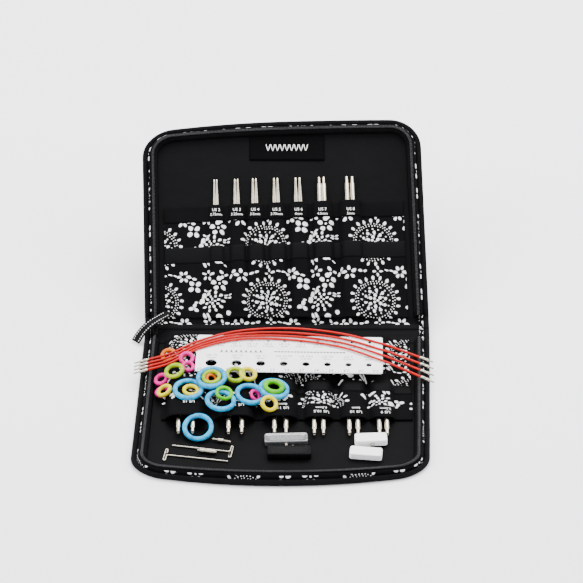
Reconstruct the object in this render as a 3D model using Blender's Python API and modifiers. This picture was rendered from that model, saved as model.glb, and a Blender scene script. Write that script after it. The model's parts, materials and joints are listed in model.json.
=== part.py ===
"""Interchangeable needle set: a zip-around fabric case, open, with its needle tips, cables and small tools.

Frame: metres, +Z up, origin at the centre of the lower half's underside, +X to the right, +Y towards the lid.
Each half of the case is drawn flat in its own frame: x across, s away from its hinge, z up from its underside.
"""

import math

import bmesh
import bpy
from mathutils import Matrix, Vector

# Case
CASE_WIDTH = 0.248
HALF_DEPTH = 0.190
CORNER_RADIUS = 0.027
BOARD = 0.003  # cover board with its fabric; its top is the floor of the half
HINGE_HEIGHT = BOARD / 2
HINGE_GAP = 0.0022  # between a hinge axis and the end of each board
SPINE_WIDTH = 0.018
LID_TILT = math.radians(32)
PIPING_RADIUS = 0.0018
GAP = 0.0003  # between solids that touch
RIM_START = 0.0045  # where the walls begin, measured from the hinge
WALL_TOP = 0.0082
COIL_RADIUS = 0.001
COIL_INSET = 0.0092

FOOT = BOARD + GAP  # the underside of everything that stands on a board
GUSSET_SECTION = [(0.0041, FOOT), (0.0062, FOOT), (0.0090, WALL_TOP), (0.0074, WALL_TOP)]
TAPE_FOOT = (0.0115, 0.0131)
TAPE_TOP = (0.0098, 0.0103)
COIL_RISE = 0.0013  # the coil's middle above the wall's top
SPINE_END = 0.0155  # leaves room for the coil's tail at each side

# The soft case is a little out of true: lean is sideways per unit of depth, slope is the far edge's angle,
# and drop is how far a far corner draws back towards the hinge, at negative and at positive x.
HALVES = {
    "lower": {"lean": 0.034, "slope": 0.0, "drop": (0.0135, 0.0145)},
    "lid": {"lean": -0.028, "slope": 0.033, "drop": (0.0075, 0.0025)},
}
SLOPE_FROM = 0.060
DROP_POWER = 5

# Pockets, in each half's own frame
POCKET_LEFT = 0.106
CLOTH = 0.0008
PANEL = {"lower": (0.0035, 0.063), "lid": (0.0035, 0.058)}
STRIP = {"lower": (0.074, 0.1055), "lid": (0.071, 0.1105)}
LABEL_SIZE = (0.067, 0.024, 0.0008)
LABEL_AT = (0.0045, 0.1645)
HEM_DRAWN = 0.42  # how far a lower hem moves to the front for each unit that it rises

# Needle tips: diameter, place across the case, distance between the two of a pair
TIP_LENGTH = 0.127
NECK_LENGTH = 0.0048  # the end that takes a cable's join
SHANK_LENGTH = 0.0110
SHANK_RADIUS = 0.0025
TIPS = {
    "lower": [
        (0.0100, 0.0850, 0.0120),
        (0.0090, 0.0435, 0.0111),
        (0.0080, 0.0057, 0.00975),
        (0.0065, -0.0267, 0.0077),
        (0.0060, -0.0559, 0.0072),
        (0.0055, -0.0807, 0.0064),
    ],
    "lid": [
        (0.00275, -0.0628, 0.0037),
        (0.00325, -0.0444, 0.0041),
        (0.00350, -0.0283, 0.0043),
        (0.00375, -0.0093, 0.0046),
        (0.00400, 0.0101, 0.0051),
        (0.00450, 0.0312, 0.0056),
        (0.00500, 0.0561, 0.0064),
    ],
}
TIP_SIDES = 8
WEB_SECTION = (0.0010, 0.0040)  # the piece that holds a pair together, and its distance from the points
WEB_AT = 0.045
TIP_POINT = {"lower": 0.0035, "lid": 0.0080}  # from the hinge to the points
TIP_LEAN_AT = {"lower": 0.0, "lid": 0.105}  # where the place across the case is measured

# Gauge card
CARD_SIZE = (0.160, 0.0535, 0.0008)
CARD_FRONT = (0.0015, 0.0306, 0.0178)  # middle of its front edge
CARD_SLOPE = math.radians(-4.3)
CARD_TURN = math.radians(-1.3)
CARD_CORNER = 0.002
# The two rows of holes: the sizes, the first one's place, and the space from edge to edge (negative: to the left)
LARGE_HOLES = [0.0100, 0.0090, 0.0080, 0.0070, 0.0065, 0.0060, 0.0055, 0.0050]
LARGE_ROW = (-0.0667, 0.0123, 0.0122)
SMALL_HOLES = [0.0045, 0.0040, 0.00375, 0.0035, 0.00325, 0.0030, 0.00275, 0.0025, 0.00225, 0.0020]
SMALL_ROW = (0.0696, 0.0459, -0.0112)

# Cables: each route is a smooth curve through points chosen by hand, from left to right
CABLE_DIAMETER = 0.0020
CABLE_STEP = 0.0072
FITTING_LENGTH = 0.0125
FITTING_RADIUS = 0.0014
CABLE_ROUTES = [
    [(-0.119, 0.0520, 0.0147), (-0.100, 0.0585, 0.0163), (-0.075, 0.0755, 0.0168), (-0.041, 0.0895, 0.0160),
     (0.003, 0.0935, 0.0155), (0.046, 0.0860, 0.0160), (0.080, 0.0725, 0.0162), (0.097, 0.0645, 0.0152),
     (0.114, 0.0565, 0.0136)],
    [(-0.119, 0.0475, 0.0147), (-0.100, 0.0540, 0.0163), (-0.075, 0.0717, 0.0168), (-0.041, 0.0853, 0.0160),
     (0.003, 0.0875, 0.0155), (0.046, 0.0790, 0.0164), (0.080, 0.0632, 0.0170), (0.097, 0.0555, 0.0158),
     (0.114, 0.0480, 0.0136)],
    [(-0.119, 0.0430, 0.0147), (-0.100, 0.0497, 0.0163), (-0.075, 0.0680, 0.0171), (-0.041, 0.0812, 0.0163),
     (0.003, 0.0822, 0.0159), (0.046, 0.0724, 0.0170), (0.080, 0.0549, 0.0181), (0.097, 0.0466, 0.0164),
     (0.114, 0.0392, 0.0136)],
    [(-0.119, 0.0385, 0.0147), (-0.100, 0.0455, 0.0163), (-0.075, 0.0643, 0.0174), (-0.041, 0.0771, 0.0167),
     (0.003, 0.0768, 0.0165), (0.046, 0.0657, 0.0176), (0.080, 0.0467, 0.0188), (0.097, 0.0381, 0.0168),
     (0.114, 0.0305, 0.0136)],
]

# Stitch-marker rings: name, radius to the middle of the tube, tube radius, centre, lean about X and about Y in degrees
RINGS = [
    ("ring_blue_1", 0.0112, 0.00205, (-0.0640, 0.0190, 0.0222), 3, -4),
    ("ring_blue_2", 0.0112, 0.00205, (-0.0835, 0.0095, 0.0172), 0, 0),
    ("ring_blue_3", 0.0112, 0.00205, (-0.0560, -0.0060, 0.0180), 0, 5),
    ("ring_blue_4", 0.0112, 0.00205, (-0.0310, 0.0055, 0.0152), 0, 8),
    ("ring_blue_5", 0.0112, 0.00205, (-0.0110, 0.0095, 0.0178), -2, 8),
    ("ring_blue_6", 0.0112, 0.00205, (-0.0745, -0.0305, 0.0094), 20, -2),
    ("ring_green_1", 0.0071, 0.00175, (-0.0960, 0.0330, 0.0180), 4, -13),
    ("ring_green_2", 0.0071, 0.00175, (-0.0440, 0.0255, 0.0200), 8, 3),
    ("ring_yellow_1", 0.0056, 0.0016, (-0.1040, 0.0135, 0.0126), 0, -26),
]
RING_SEGMENTS = (18, 6)

# Tightening keys: tip end and head end of the shaft
KEY_WIRE = 0.00075
KEY_HEAD = (0.0018, 0.0060)
KEYS = [("tightening_key_1", (-0.0958, -0.0472), (-0.0475, -0.0552)),
        ("tightening_key_2", (-0.0489, -0.0673), (-0.1000, -0.0592))]

# Cable connectors: centre, heading and turned profile (distance along, radius)
CONNECTORS = [
    ("cable_connector_1", (-0.0666, -0.0557), -9.5,
     [(0, 0.0009), (0.0020, 0.0009), (0.0022, 0.0017), (0.0060, 0.0017), (0.0062, 0.0013), (0.0082, 0.0013),
      (0.0084, 0.0018), (0.0145, 0.0018), (0.0160, 0.0009)]),
    ("cable_connector_2", (-0.0547, -0.0420), -14.0,
     [(0, 0.0006), (0.0010, 0.0010), (0.0048, 0.0010), (0.0054, 0.0017), (0.0092, 0.0017), (0.0098, 0.0010),
      (0.0150, 0.0010), (0.0160, 0.0006)]),
]

# End stoppers: centre, size, turn about Z in degrees and stud's place and side
STOPPERS = [
    ("end_stopper_black_1", (-0.0008, -0.0420), (0.0365, 0.0115, 0.0055), 2.0, (0.0, -1)),
    ("end_stopper_black_2", (0.0018, -0.0590), (0.0365, 0.0115, 0.0065), 0.0, (0.0030, 1)),
    ("end_stopper_white_1", (0.0700, -0.0425), (0.0270, 0.0110, 0.0062), 3.0, (0.0010, -1)),
    ("end_stopper_white_2", (0.0655, -0.0600), (0.0270, 0.0110, 0.0062), -6.5, (0.0022, 1)),
]
STUD_RADIUS = 0.0012
STUD_LENGTH = 0.0028

# Zipper slider, puller and ribbon, in the lid's frame, at the hinge end of its left side
SLIDER_AT = -0.0105
SLIDER_SIZE = (0.0046, 0.0085, 0.0040)
COIL_TAIL = 0.0145  # the lid's coil runs this far past the hinge, beside the spine
COIL_LAP = 0.012  # and this far inside the rim's own coil
SLIDER_SLOT = (2 * COIL_RADIUS + 2 * GAP, 0.020, 0.0054)
PULLER_EYE = (0.0084, 0.0011)  # its place along the puller and its radius
PULLER_SIZE = (0.0110, 0.0040, 0.0008)
PULLER_TURN = math.radians(65)
RIBBON_WIDTH = 0.0085
RIBBON_THICK = 0.0010
RIBBON_ROUTE = [(-0.1035, 0.1120, 0.0175), (-0.1110, 0.1050, 0.0178), (-0.1185, 0.0990, 0.0165),
                (-0.1240, 0.0960, 0.0125), (-0.1275, 0.0945, 0.0085), (-0.1300, 0.0932, 0.0045),
                (-0.1320, 0.0920, 0.0018)]
RIBBON_ACROSS = (0.75, -0.66, 0.0)

ARC_STEPS = 6


# ---------------------------------------------------------------- scene and materials

def clear_scene():
    for o in list(bpy.data.objects):
        bpy.data.objects.remove(o, do_unlink=True)


def new_collection(name):
    c = bpy.data.collections.new(name)
    bpy.context.scene.collection.children.link(c)
    return c


def material(name, colour, roughness, metallic=0.0):
    found = bpy.data.materials.get(name)
    if found:
        return found
    m = bpy.data.materials.new(name)
    m.use_nodes = True
    shader = m.node_tree.nodes["Principled BSDF"]
    shader.inputs["Base Color"].default_value = (*colour, 1.0)
    shader.inputs["Roughness"].default_value = roughness
    shader.inputs["Metallic"].default_value = metallic
    m.diffuse_color = (*colour, 1.0)
    return m


def black_fabric():
    return material("black_fabric", (0.012, 0.012, 0.013), 0.85)


def print_fabric():
    return material("print_fabric", (0.30, 0.30, 0.30), 0.85)


def black_plastic():
    return material("black_plastic", (0.01, 0.01, 0.01), 0.3)


def steel():
    return material("steel", (0.72, 0.68, 0.60), 0.28, 1.0)


def finish(o, mat, parent=None, smooth=False):
    """Gives an object its material and parent, and puts it in the set's collection."""
    o.data.materials.append(mat)
    o.parent = parent
    if smooth and o.type == "MESH":
        o.data.shade_smooth()
    return o


def add(name, data, helper=False):
    o = bpy.data.objects.new(name, data)
    (HELPERS if helper else SET).objects.link(o)
    if helper:
        o.hide_render = True
        o.display_type = "WIRE"
    return o


def frame(name, matrix, parent=None):
    e = bpy.data.objects.new(name, None)
    SET.objects.link(e)
    e.parent = parent
    e.matrix_world = matrix
    return e


# ---------------------------------------------------------------- outlines of the soft case

def soft(half, x, s):
    """Where a point of the true rectangle lies in the soft half."""
    shape = HALVES[half]
    across = x / (CASE_WIDTH / 2)
    slope = shape["slope"] * min(max(s, 0) / SLOPE_FROM, 1.0)
    drop = shape["drop"][x > 0] * across * across * max(s / HALF_DEPTH, 0) ** DROP_POWER
    return x + shape["lean"] * s, s + slope * x - drop


def rim_line(half, inset, start):
    """The half's outer edge moved inwards by inset: up its right side, round the far side and back."""
    w, far, r = CASE_WIDTH / 2 - inset, HALF_DEPTH - inset, CORNER_RADIUS - inset
    points = [(w, start), (w, (start + far - r) / 2)]
    for side, first in ((1, 0.0), (-1, math.pi / 2)):
        for i in range(ARC_STEPS + 1):
            a = first + math.pi / 2 * i / ARC_STEPS
            points.append((side * (w - r) + r * math.cos(a), far - r + r * math.sin(a)))
        if side == 1:
            points += [(x * w, far) for x in (0.4, 0.0, -0.4)]
    points += [(-w, (start + far - r) / 2), (-w, start)]
    return [soft(half, x, s) for x, s in points]


def rim_sweep(name, half, section, start, parent, mat):
    """A solid that follows the rim, with a section of (inset, height) points, anticlockwise seen from its start."""
    lines = [rim_line(half, inset, start) for inset, _ in section]
    bm = bmesh.new()
    rings = [
        [bm.verts.new((*line[i], height)) for line, (_, height) in zip(lines, section)]
        for i in range(len(lines[0]))
    ]
    n = len(section)
    for a, b in zip(rings, rings[1:]):
        for k in range(n):
            bm.faces.new((a[k], a[(k + 1) % n], b[(k + 1) % n], b[k]))
    bm.faces.new(rings[0][::-1])
    bm.faces.new(rings[-1])
    bmesh.ops.recalc_face_normals(bm, faces=bm.faces)
    mesh = bpy.data.meshes.new(name)
    bm.to_mesh(mesh)
    bm.free()
    return finish(add(name, mesh), mat, parent)


def round_section(inset, height, radius, sides=8):
    turn = [2 * math.pi * (k + 0.5) / sides for k in range(sides)]
    return [(inset - radius * math.cos(a), height + radius * math.sin(a)) for a in turn]


def flat_plate(name, outline, thickness, holes=()):
    """A flat outline with holes, as a filled 2D curve; its middle is at z = 0."""
    curve = bpy.data.curves.new(name, "CURVE")
    curve.dimensions = "2D"
    curve.fill_mode = "BOTH"
    curve.extrude = thickness / 2
    curve.resolution_u = 1
    for points in (outline, *holes):
        spline = curve.splines.new("POLY")
        spline.points.add(len(points) - 1)
        for p, (x, y) in zip(spline.points, points):
            p.co = (x, y, 0, 1)
        spline.use_cyclic_u = True
    return add(name, curve)


def circle(x, y, radius, sides=10):
    turn = [2 * math.pi * k / sides for k in range(sides)]
    return [(x + radius * math.cos(a), y + radius * math.sin(a)) for a in turn]


# ---------------------------------------------------------------- case halves

def build_cover(half, parent):
    inset = 2 * PIPING_RADIUS + 0.0003
    outline = rim_line(half, inset, HINGE_GAP)
    o = flat_plate(half + "_cover", outline, BOARD)
    o.location = (0, 0, BOARD / 2)
    return finish(o, print_fabric(), parent)


def build_walls(half, parent):
    piping = round_section(PIPING_RADIUS + 0.0001, PIPING_RADIUS + 0.0001, PIPING_RADIUS)
    rim_sweep(half + "_piping", half, piping, RIM_START, parent, black_fabric())
    rim_sweep(half + "_gusset", half, GUSSET_SECTION, RIM_START, parent, print_fabric())
    middle = WALL_TOP + COIL_RISE
    coil = [(COIL_INSET + COIL_RADIUS * math.cos(a), middle + COIL_RADIUS * math.sin(a))
            for a in (0, math.pi / 3, math.pi / 2, 2 * math.pi / 3, math.pi, 1.3 * math.pi)]
    tape = [(TAPE_FOOT[0], FOOT), (TAPE_FOOT[1], FOOT), (TAPE_TOP[1], WALL_TOP), *coil, (TAPE_TOP[0], WALL_TOP)]
    zip_side = rim_sweep(half + "_zipper_tape", half, tape, RIM_START, parent, black_fabric())
    if half == "lid":
        thick = 0.8 * COIL_RADIUS
        tail = turned("coil_tail", [(0, COIL_LAP), (thick, COIL_LAP), (thick, -COIL_TAIL), (0, -COIL_TAIL)],
                      TIP_SIDES, helper=True)
        tail.parent = parent
        tail.location = (*soft(half, COIL_INSET - CASE_WIDTH / 2, 0.0), middle)
        tail.rotation_euler = (-math.pi / 2, 0, -math.atan(HALVES[half]["lean"]))
        join(zip_side, tail)


def taper_radius(diameter, along):
    """A tip's radius at a distance from its point."""
    r, taper = diameter / 2, 3.1 * diameter
    if along >= taper:
        return r
    return max(r * math.sin(math.pi / 2 * max(along, 0) / taper) ** 0.85, 0.0002)


def pocket_height(half, x, s):
    """The underside of the pocket cloth: over each pair of tips it rises, and between them it lies on the floor."""
    best = FOOT
    for diameter, centre, apart in TIPS[half]:
        full, r = diameter / 2 + GAP, taper_radius(diameter, s - TIP_POINT[half]) + GAP
        lean = HALVES[half]["lean"] * (s - TIP_LEAN_AT[half]) if TIP_LEAN_AT[half] else 0.0
        off = abs(x - centre - lean) - apart / 2
        rise, reach = full + r, 1.9 * full + 0.0012
        if off < reach:
            fall = math.cos(math.pi / 2 * (max(off, 0) / reach) ** 1.6) ** 0.8
            best = max(best, FOOT + rise * fall)
    return best


def pocket_columns(half):
    columns = {-POCKET_LEFT, POCKET_LEFT}
    for diameter, centre, apart in TIPS[half]:
        r = diameter / 2 + GAP
        for off in (0.0, 0.55 * r, 1.15 * r, 1.9 * r + 0.0012):
            columns |= {centre - apart / 2 - off, centre + apart / 2 + off}
    return sorted(columns)


def build_pocket(name, half, start, end, rows, mat, parent):
    """One piece of pocket cloth: an open sheet over the tips, made solid upwards. Rows are parts of its depth."""
    bm = bmesh.new()
    grid = []
    for row in rows:
        line = []
        for x in pocket_columns(half):
            drawn = HEM_DRAWN * (pocket_height(half, x, end) - BOARD) if half == "lower" else 0.0
            s = start + (end + drawn - start) * row
            px, ps = soft(half, x, s) if half == "lid" else (x, s)
            line.append(bm.verts.new((px, ps, pocket_height(half, px, ps))))
        grid.append(line)
    for a, b in zip(grid, grid[1:]):
        for k in range(len(a) - 1):
            bm.faces.new((a[k], a[k + 1], b[k + 1], b[k]))
    mesh = bpy.data.meshes.new(name)
    bm.to_mesh(mesh)
    bm.free()
    o = finish(add(name, mesh), mat, parent)
    m = o.modifiers.new("cloth", "SOLIDIFY")
    m.thickness = CLOTH
    m.offset = 1.0
    return o


# ---------------------------------------------------------------- needle tips

def tip_profile(diameter):
    """Half section of a tip, from its neck end down to its point, as (radius, height)."""
    r, long = diameter / 2, TIP_LENGTH
    neck, shank = min(0.0015, 0.68 * r), min(r, SHANK_RADIUS)
    profile = [(0.0, long), (neck, long), (neck, long - NECK_LENGTH), (shank, long - NECK_LENGTH - SHANK_LENGTH)]
    if r > shank:
        profile.append((r, long - NECK_LENGTH - SHANK_LENGTH - 1.6 * (r - shank)))
    taper = 3.1 * diameter
    profile += [(taper_radius(diameter, t * taper), t * taper) for t in (1.0, 0.6, 0.25)]
    return profile + [(0.0, 0.0)]


def turned(name, profile, steps, helper=False):
    """A solid turned about Z from a half section given from top to bottom."""
    mesh = bpy.data.meshes.new(name)
    verts = [(r, 0, z) for r, z in profile]
    mesh.from_pydata(verts, [(i, i + 1) for i in range(len(verts) - 1)], [])
    o = add(name, mesh, helper)
    m = o.modifiers.new("turn", "SCREW")
    m.axis = "Z"
    m.angle = 2 * math.pi
    m.steps = steps
    m.render_steps = steps
    m.use_merge_vertices = True
    m.merge_threshold = 1e-5
    m.use_smooth_shade = True
    return o


def cube(name, size, place, helper=False):
    mesh = bpy.data.meshes.new(name)
    bm = bmesh.new()
    bmesh.ops.create_cube(bm, size=1.0)
    bmesh.ops.scale(bm, verts=bm.verts, vec=size)
    bm.to_mesh(mesh)
    bm.free()
    o = add(name, mesh, helper)
    o.location = place
    return o


def join(o, other, operation="UNION"):
    m = o.modifiers.new(operation.lower(), "BOOLEAN")
    m.operation = operation
    m.object = other


def build_tips(half, parent):
    """Each pair is one object: two turned tips held by a small web, which the pocket hides."""
    for diameter, centre, apart in TIPS[half]:
        size = f"{diameter * 1000:g}".replace(".", "_")
        name = f"tip_pair_{size}mm"
        lean = HALVES[half]["lean"] if half == "lid" else 0.0
        pair = frame(name + "_frame", Matrix(), parent)
        pair.matrix_parent_inverse = Matrix()
        x = centre - lean * (TIP_LEAN_AT[half] - TIP_POINT[half])
        far = soft("lid", centre, TIP_LEAN_AT["lid"])[1] - TIP_LEAN_AT["lid"] if half == "lid" else 0.0
        pair.location = (x, TIP_POINT[half] + 0.6 * far, FOOT + diameter / 2)
        pair.rotation_euler = (-math.pi / 2, 0, -math.atan(lean))
        right = turned(name, tip_profile(diameter), TIP_SIDES)
        left = turned(name + "_left", tip_profile(diameter), TIP_SIDES, helper=True)
        web = cube(name + "_web", (apart, *WEB_SECTION), (0, 0, WEB_AT), helper=True)
        for o, dx in ((right, apart / 2), (left, -apart / 2), (web, 0.0)):
            o.parent = pair
            o.location.x = dx
        join(right, web)
        join(right, left)
        finish(right, steel(), pair)


# ---------------------------------------------------------------- zipper slider, puller and ribbon

def build_slider(parent):
    coil_x = -(CASE_WIDTH / 2 - COIL_INSET)
    x, s = soft("lid", coil_x, SLIDER_AT)
    low = WALL_TOP + GAP
    body = cube("zipper_slider", SLIDER_SIZE, (x, s, low + SLIDER_SIZE[2] / 2))
    slot = cube("slider_slot", SLIDER_SLOT, (x, s, low), helper=True)
    body.rotation_euler.z = slot.rotation_euler.z = -math.atan(HALVES["lid"]["lean"])
    slot.parent = parent
    join(body, slot, "DIFFERENCE")
    finish(body, black_plastic(), parent)
    z = low + SLIDER_SIZE[2] + GAP + PULLER_SIZE[2] / 2
    outline = [(0, -PULLER_SIZE[1] / 2), (PULLER_SIZE[0], -PULLER_SIZE[1] / 2),
               (PULLER_SIZE[0], PULLER_SIZE[1] / 2), (0, PULLER_SIZE[1] / 2)]
    eye = circle(PULLER_EYE[0], 0, PULLER_EYE[1], 8)
    puller = flat_plate("zipper_puller", outline, PULLER_SIZE[2], [eye])
    puller.location = (x - 0.0010, s, z)
    puller.rotation_euler.z = PULLER_TURN
    finish(puller, black_plastic(), parent)


def build_ribbon():
    """The ribbon lies over the slider and hangs down beside the case."""
    route = smooth_route(RIBBON_ROUTE, 0.0045)
    across = Vector(RIBBON_ACROSS).normalized() * RIBBON_WIDTH / 2
    bm = bmesh.new()
    rows = [[bm.verts.new(p - across), bm.verts.new(p + across)] for p in route]
    for a, b in zip(rows, rows[1:]):
        bm.faces.new((a[0], a[1], b[1], b[0]))
    mesh = bpy.data.meshes.new("zipper_ribbon")
    bm.to_mesh(mesh)
    bm.free()
    o = finish(add("zipper_ribbon", mesh), black_fabric())
    m = o.modifiers.new("cloth", "SOLIDIFY")
    m.thickness = RIBBON_THICK
    m.offset = 0.0


# ---------------------------------------------------------------- card, cables and loose pieces

def hole_row(sizes, row):
    """Where each hole of a row lies, and its diameter."""
    x, y, space = row
    places = []
    for k, d in enumerate(sizes):
        if k:
            x += space + math.copysign((d + sizes[k - 1]) / 2, space)
        places.append((x, y, d))
    return places


def build_card():
    width, depth, thick = CARD_SIZE
    corner = CARD_CORNER
    outline = []
    for cx, cy, first in ((1, 0, -90), (1, 1, 0), (-1, 1, 90), (-1, 0, 180)):
        for a in (0, 45, 90):
            t = math.radians(first + a)
            outline.append((cx * (width / 2 - corner) + corner * math.cos(t),
                            (depth - corner if cy else corner) + corner * math.sin(t)))
    holes = [circle(x, y, d / 2) for x, y, d in hole_row(LARGE_HOLES, LARGE_ROW)]
    holes += [circle(x, y, d / 2, 8) for x, y, d in hole_row(SMALL_HOLES, SMALL_ROW)]
    card = flat_plate("gauge_card", outline, thick, holes)
    card.location = CARD_FRONT
    card.rotation_euler = (CARD_SLOPE, 0, CARD_TURN)
    finish(card, material("white_card", (0.85, 0.85, 0.86), 0.4))


def smooth_route(points, step):
    """Points evenly spaced on a smooth curve through the route's own points."""
    p = [Vector(q) for q in points]
    p = [2 * p[0] - p[1], *p, 2 * p[-1] - p[-2]]
    fine = []
    for a, b, c, d in zip(p, p[1:], p[2:], p[3:]):
        for i in range(24):
            t = i / 24
            fine.append(0.5 * (2 * b + (c - a) * t + (2 * a - 5 * b + 4 * c - d) * t * t
                               + (3 * b - a - 3 * c + d) * t ** 3))
    fine.append(p[-2])
    along = [0.0]
    for a, b in zip(fine, fine[1:]):
        along.append(along[-1] + (b - a).length)
    count = max(2, round(along[-1] / step))
    found, k = [], 0
    for i in range(count + 1):
        want = along[-1] * i / count
        while k < len(along) - 2 and along[k + 1] < want:
            k += 1
        t = (want - along[k]) / (along[k + 1] - along[k])
        found.append(fine[k].lerp(fine[k + 1], min(max(t, 0), 1)))
    return found


def tube(name, points, radius, mat):
    curve = bpy.data.curves.new(name, "CURVE")
    curve.dimensions = "3D"
    curve.bevel_depth = radius
    curve.bevel_resolution = 2
    curve.use_fill_caps = True
    spline = curve.splines.new("POLY")
    spline.points.add(len(points) - 1)
    for p, q in zip(spline.points, points):
        p.co = (*q, 1)
    return finish(add(name, curve), mat)


def build_cable(number, route):
    """A steel cable in a red sheath, with a threaded join at each end in line with it."""
    points = smooth_route(route, CABLE_STEP)
    name = f"cable_{number}"
    tube(name, points, CABLE_DIAMETER / 2, material("red_sheath", (0.62, 0.02, 0.03), 0.3))
    profile = [(0.0, FITTING_LENGTH), (0.0006, FITTING_LENGTH), (0.0007, FITTING_LENGTH - 0.0035),
               (0.0010, FITTING_LENGTH - 0.0040), (FITTING_RADIUS, FITTING_LENGTH - 0.0060),
               (FITTING_RADIUS, 0.0004), (FITTING_RADIUS - 0.0003, 0.0), (0.0, 0.0)]
    ends = (("left", points[0], points[0] - points[1]), ("right", points[-1], points[-1] - points[-2]))
    for side, place, heading in ends:
        heading.normalize()
        o = turned(f"{name}_join_{side}", profile, TIP_SIDES)
        o.location = place + heading * GAP
        o.rotation_euler = heading.to_track_quat("Z", "Y").to_euler()
        finish(o, steel())


def build_rings():
    colours = {"blue": (0.30, 0.75, 0.88), "green": (0.60, 0.85, 0.15), "yellow": (0.95, 0.85, 0.15)}
    for name, major, minor, place, lean_x, lean_y in RINGS:
        bpy.ops.mesh.primitive_torus_add(major_segments=RING_SEGMENTS[0], minor_segments=RING_SEGMENTS[1],
                                         major_radius=major, minor_radius=minor, location=place,
                                         rotation=(math.radians(lean_x), math.radians(lean_y), 0))
        o = bpy.context.object
        o.name = name
        for c in list(o.users_collection):
            c.objects.unlink(o)
        SET.objects.link(o)
        colour = name.split("_")[1]
        finish(o, material(f"{colour}_marker", colours[colour], 0.4), smooth=True)


def build_keys():
    """A straight wire whose end is folded into a T-shaped handle."""
    half_width, half_long = KEY_HEAD[0] / 2, KEY_HEAD[1]
    for name, tip, head in KEYS:
        a, b = Vector((*tip, 0)), Vector((*head, 0))
        long = (b - a).length
        path = [(0, 0), (long * 0.5, 0), (long, 0), (long, half_long)]
        path += [(long + half_width + half_width * math.cos(t), half_long + half_width * math.sin(t))
                 for t in (math.pi * 0.75, math.pi * 0.5, math.pi * 0.25)]
        path += [(long + 2 * half_width, half_long), (long + 2 * half_width, -half_long)]
        path += [(long + half_width + half_width * math.cos(t), -half_long + half_width * math.sin(t))
                 for t in (-math.pi * 0.25, -math.pi * 0.5, -math.pi * 0.75)]
        path += [(long, -half_long), (long, -2 * KEY_WIRE - GAP)]
        wire = tube(name, [(x, y, 0) for x, y in path], KEY_WIRE, steel())
        wire.location = (*tip, FOOT + KEY_WIRE)
        wire.rotation_euler.z = math.atan2((b - a).y, (b - a).x)


def build_connectors():
    for name, place, heading, profile in CONNECTORS:
        long = profile[-1][0]
        down = [(0.0, long)] + [(r, z) for z, r in reversed(profile)] + [(0.0, 0.0)]
        o = turned(name, down, 10)
        turn = math.radians(heading)
        along = Vector((math.cos(turn), math.sin(turn), 0))
        widest = max(r for _, r in profile)
        o.location = Vector((*place, FOOT + widest)) - along * long / 2
        o.rotation_euler = along.to_track_quat("Z", "Y").to_euler()
        finish(o, steel())


def build_stoppers():
    for name, place, size, turn, (stud_x, side) in STOPPERS:
        body = cube(name, size, (*place, FOOT + size[2] / 2))
        round_edges = body.modifiers.new("round", "BEVEL")
        round_edges.width = 0.0011
        round_edges.segments = 2
        body.rotation_euler.z = math.radians(turn)
        profile = [(0.0, STUD_LENGTH), (0.0008, STUD_LENGTH), (STUD_RADIUS, STUD_LENGTH - 0.0006),
                   (STUD_RADIUS, -0.0020), (0.0, -0.0020)]
        stud = turned(name + "_stud", profile, 8, helper=True)
        stud.location = (stud_x, side * size[1] / 2, 0)
        stud.rotation_euler.x = -side * math.pi / 2
        stud.parent = body
        join(body, stud)
        mat = black_plastic() if "black" in name else material("white_plastic", (0.85, 0.85, 0.85), 0.3)
        finish(body, mat)


# ---------------------------------------------------------------- build

clear_scene()
SET = new_collection("interchangeable_needle_set")
HELPERS = new_collection("helpers")

hinge_a = Vector((0, HALF_DEPTH / 2, HINGE_HEIGHT))
half_tilt = LID_TILT / 2
hinge_b = hinge_a + SPINE_WIDTH * Vector((0, math.cos(half_tilt), math.sin(half_tilt)))
lower_frame = frame("lower_frame", Matrix.Translation((0, HALF_DEPTH / 2, 0)) @ Matrix.Rotation(math.pi, 4, "Z"))
down = Matrix.Translation((0, 0, -HINGE_HEIGHT))
spine_frame = frame("spine_frame", Matrix.Translation(hinge_a) @ Matrix.Rotation(half_tilt, 4, "X") @ down)
lid_frame = frame("lid_frame", Matrix.Translation(hinge_b) @ Matrix.Rotation(LID_TILT, 4, "X") @ down)

for half, parent in (("lower", lower_frame), ("lid", lid_frame)):
    build_cover(half, parent)
    build_walls(half, parent)
    build_pocket(half + "_pocket_panel", half, *PANEL[half], (0.0, 0.16, 0.38, 1.0), print_fabric(), parent)
    build_pocket(half + "_pocket_strip", half, *STRIP[half], (0.0, 0.5, 1.0), print_fabric(), parent)
    build_tips(half, parent)

spine = cube("spine_cover", (CASE_WIDTH - 2 * SPINE_END, SPINE_WIDTH - 2 * HINGE_GAP, BOARD),
             (0, SPINE_WIDTH / 2, BOARD / 2))
finish(spine, print_fabric(), spine_frame)

label_x, label_s = soft("lid", *LABEL_AT)
label = cube("lid_label", LABEL_SIZE, (label_x, label_s, FOOT + LABEL_SIZE[2] / 2))
label.rotation_euler.z = HALVES["lid"]["slope"]
finish(label, black_fabric(), lid_frame)

build_slider(lid_frame)
build_ribbon()
build_card()
for number, route in enumerate(CABLE_ROUTES, 1):
    build_cable(number, route)
build_rings()
build_keys()
build_connectors()
build_stoppers()
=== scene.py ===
"""Looks of the interchangeable needle set: an open zipped fabric case with needle tips, cables and tools.

Everything is in metres. Each half of the case has its own frame: x across, s away from its hinge, z up from
its underside. Printed cloth carries a "cloth" attribute, its place on the flat fabric, in which the print is
drawn.
"""
import json
import math

import bmesh
import bpy
import numpy as np
from mathutils import Matrix, Vector, noise


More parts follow.
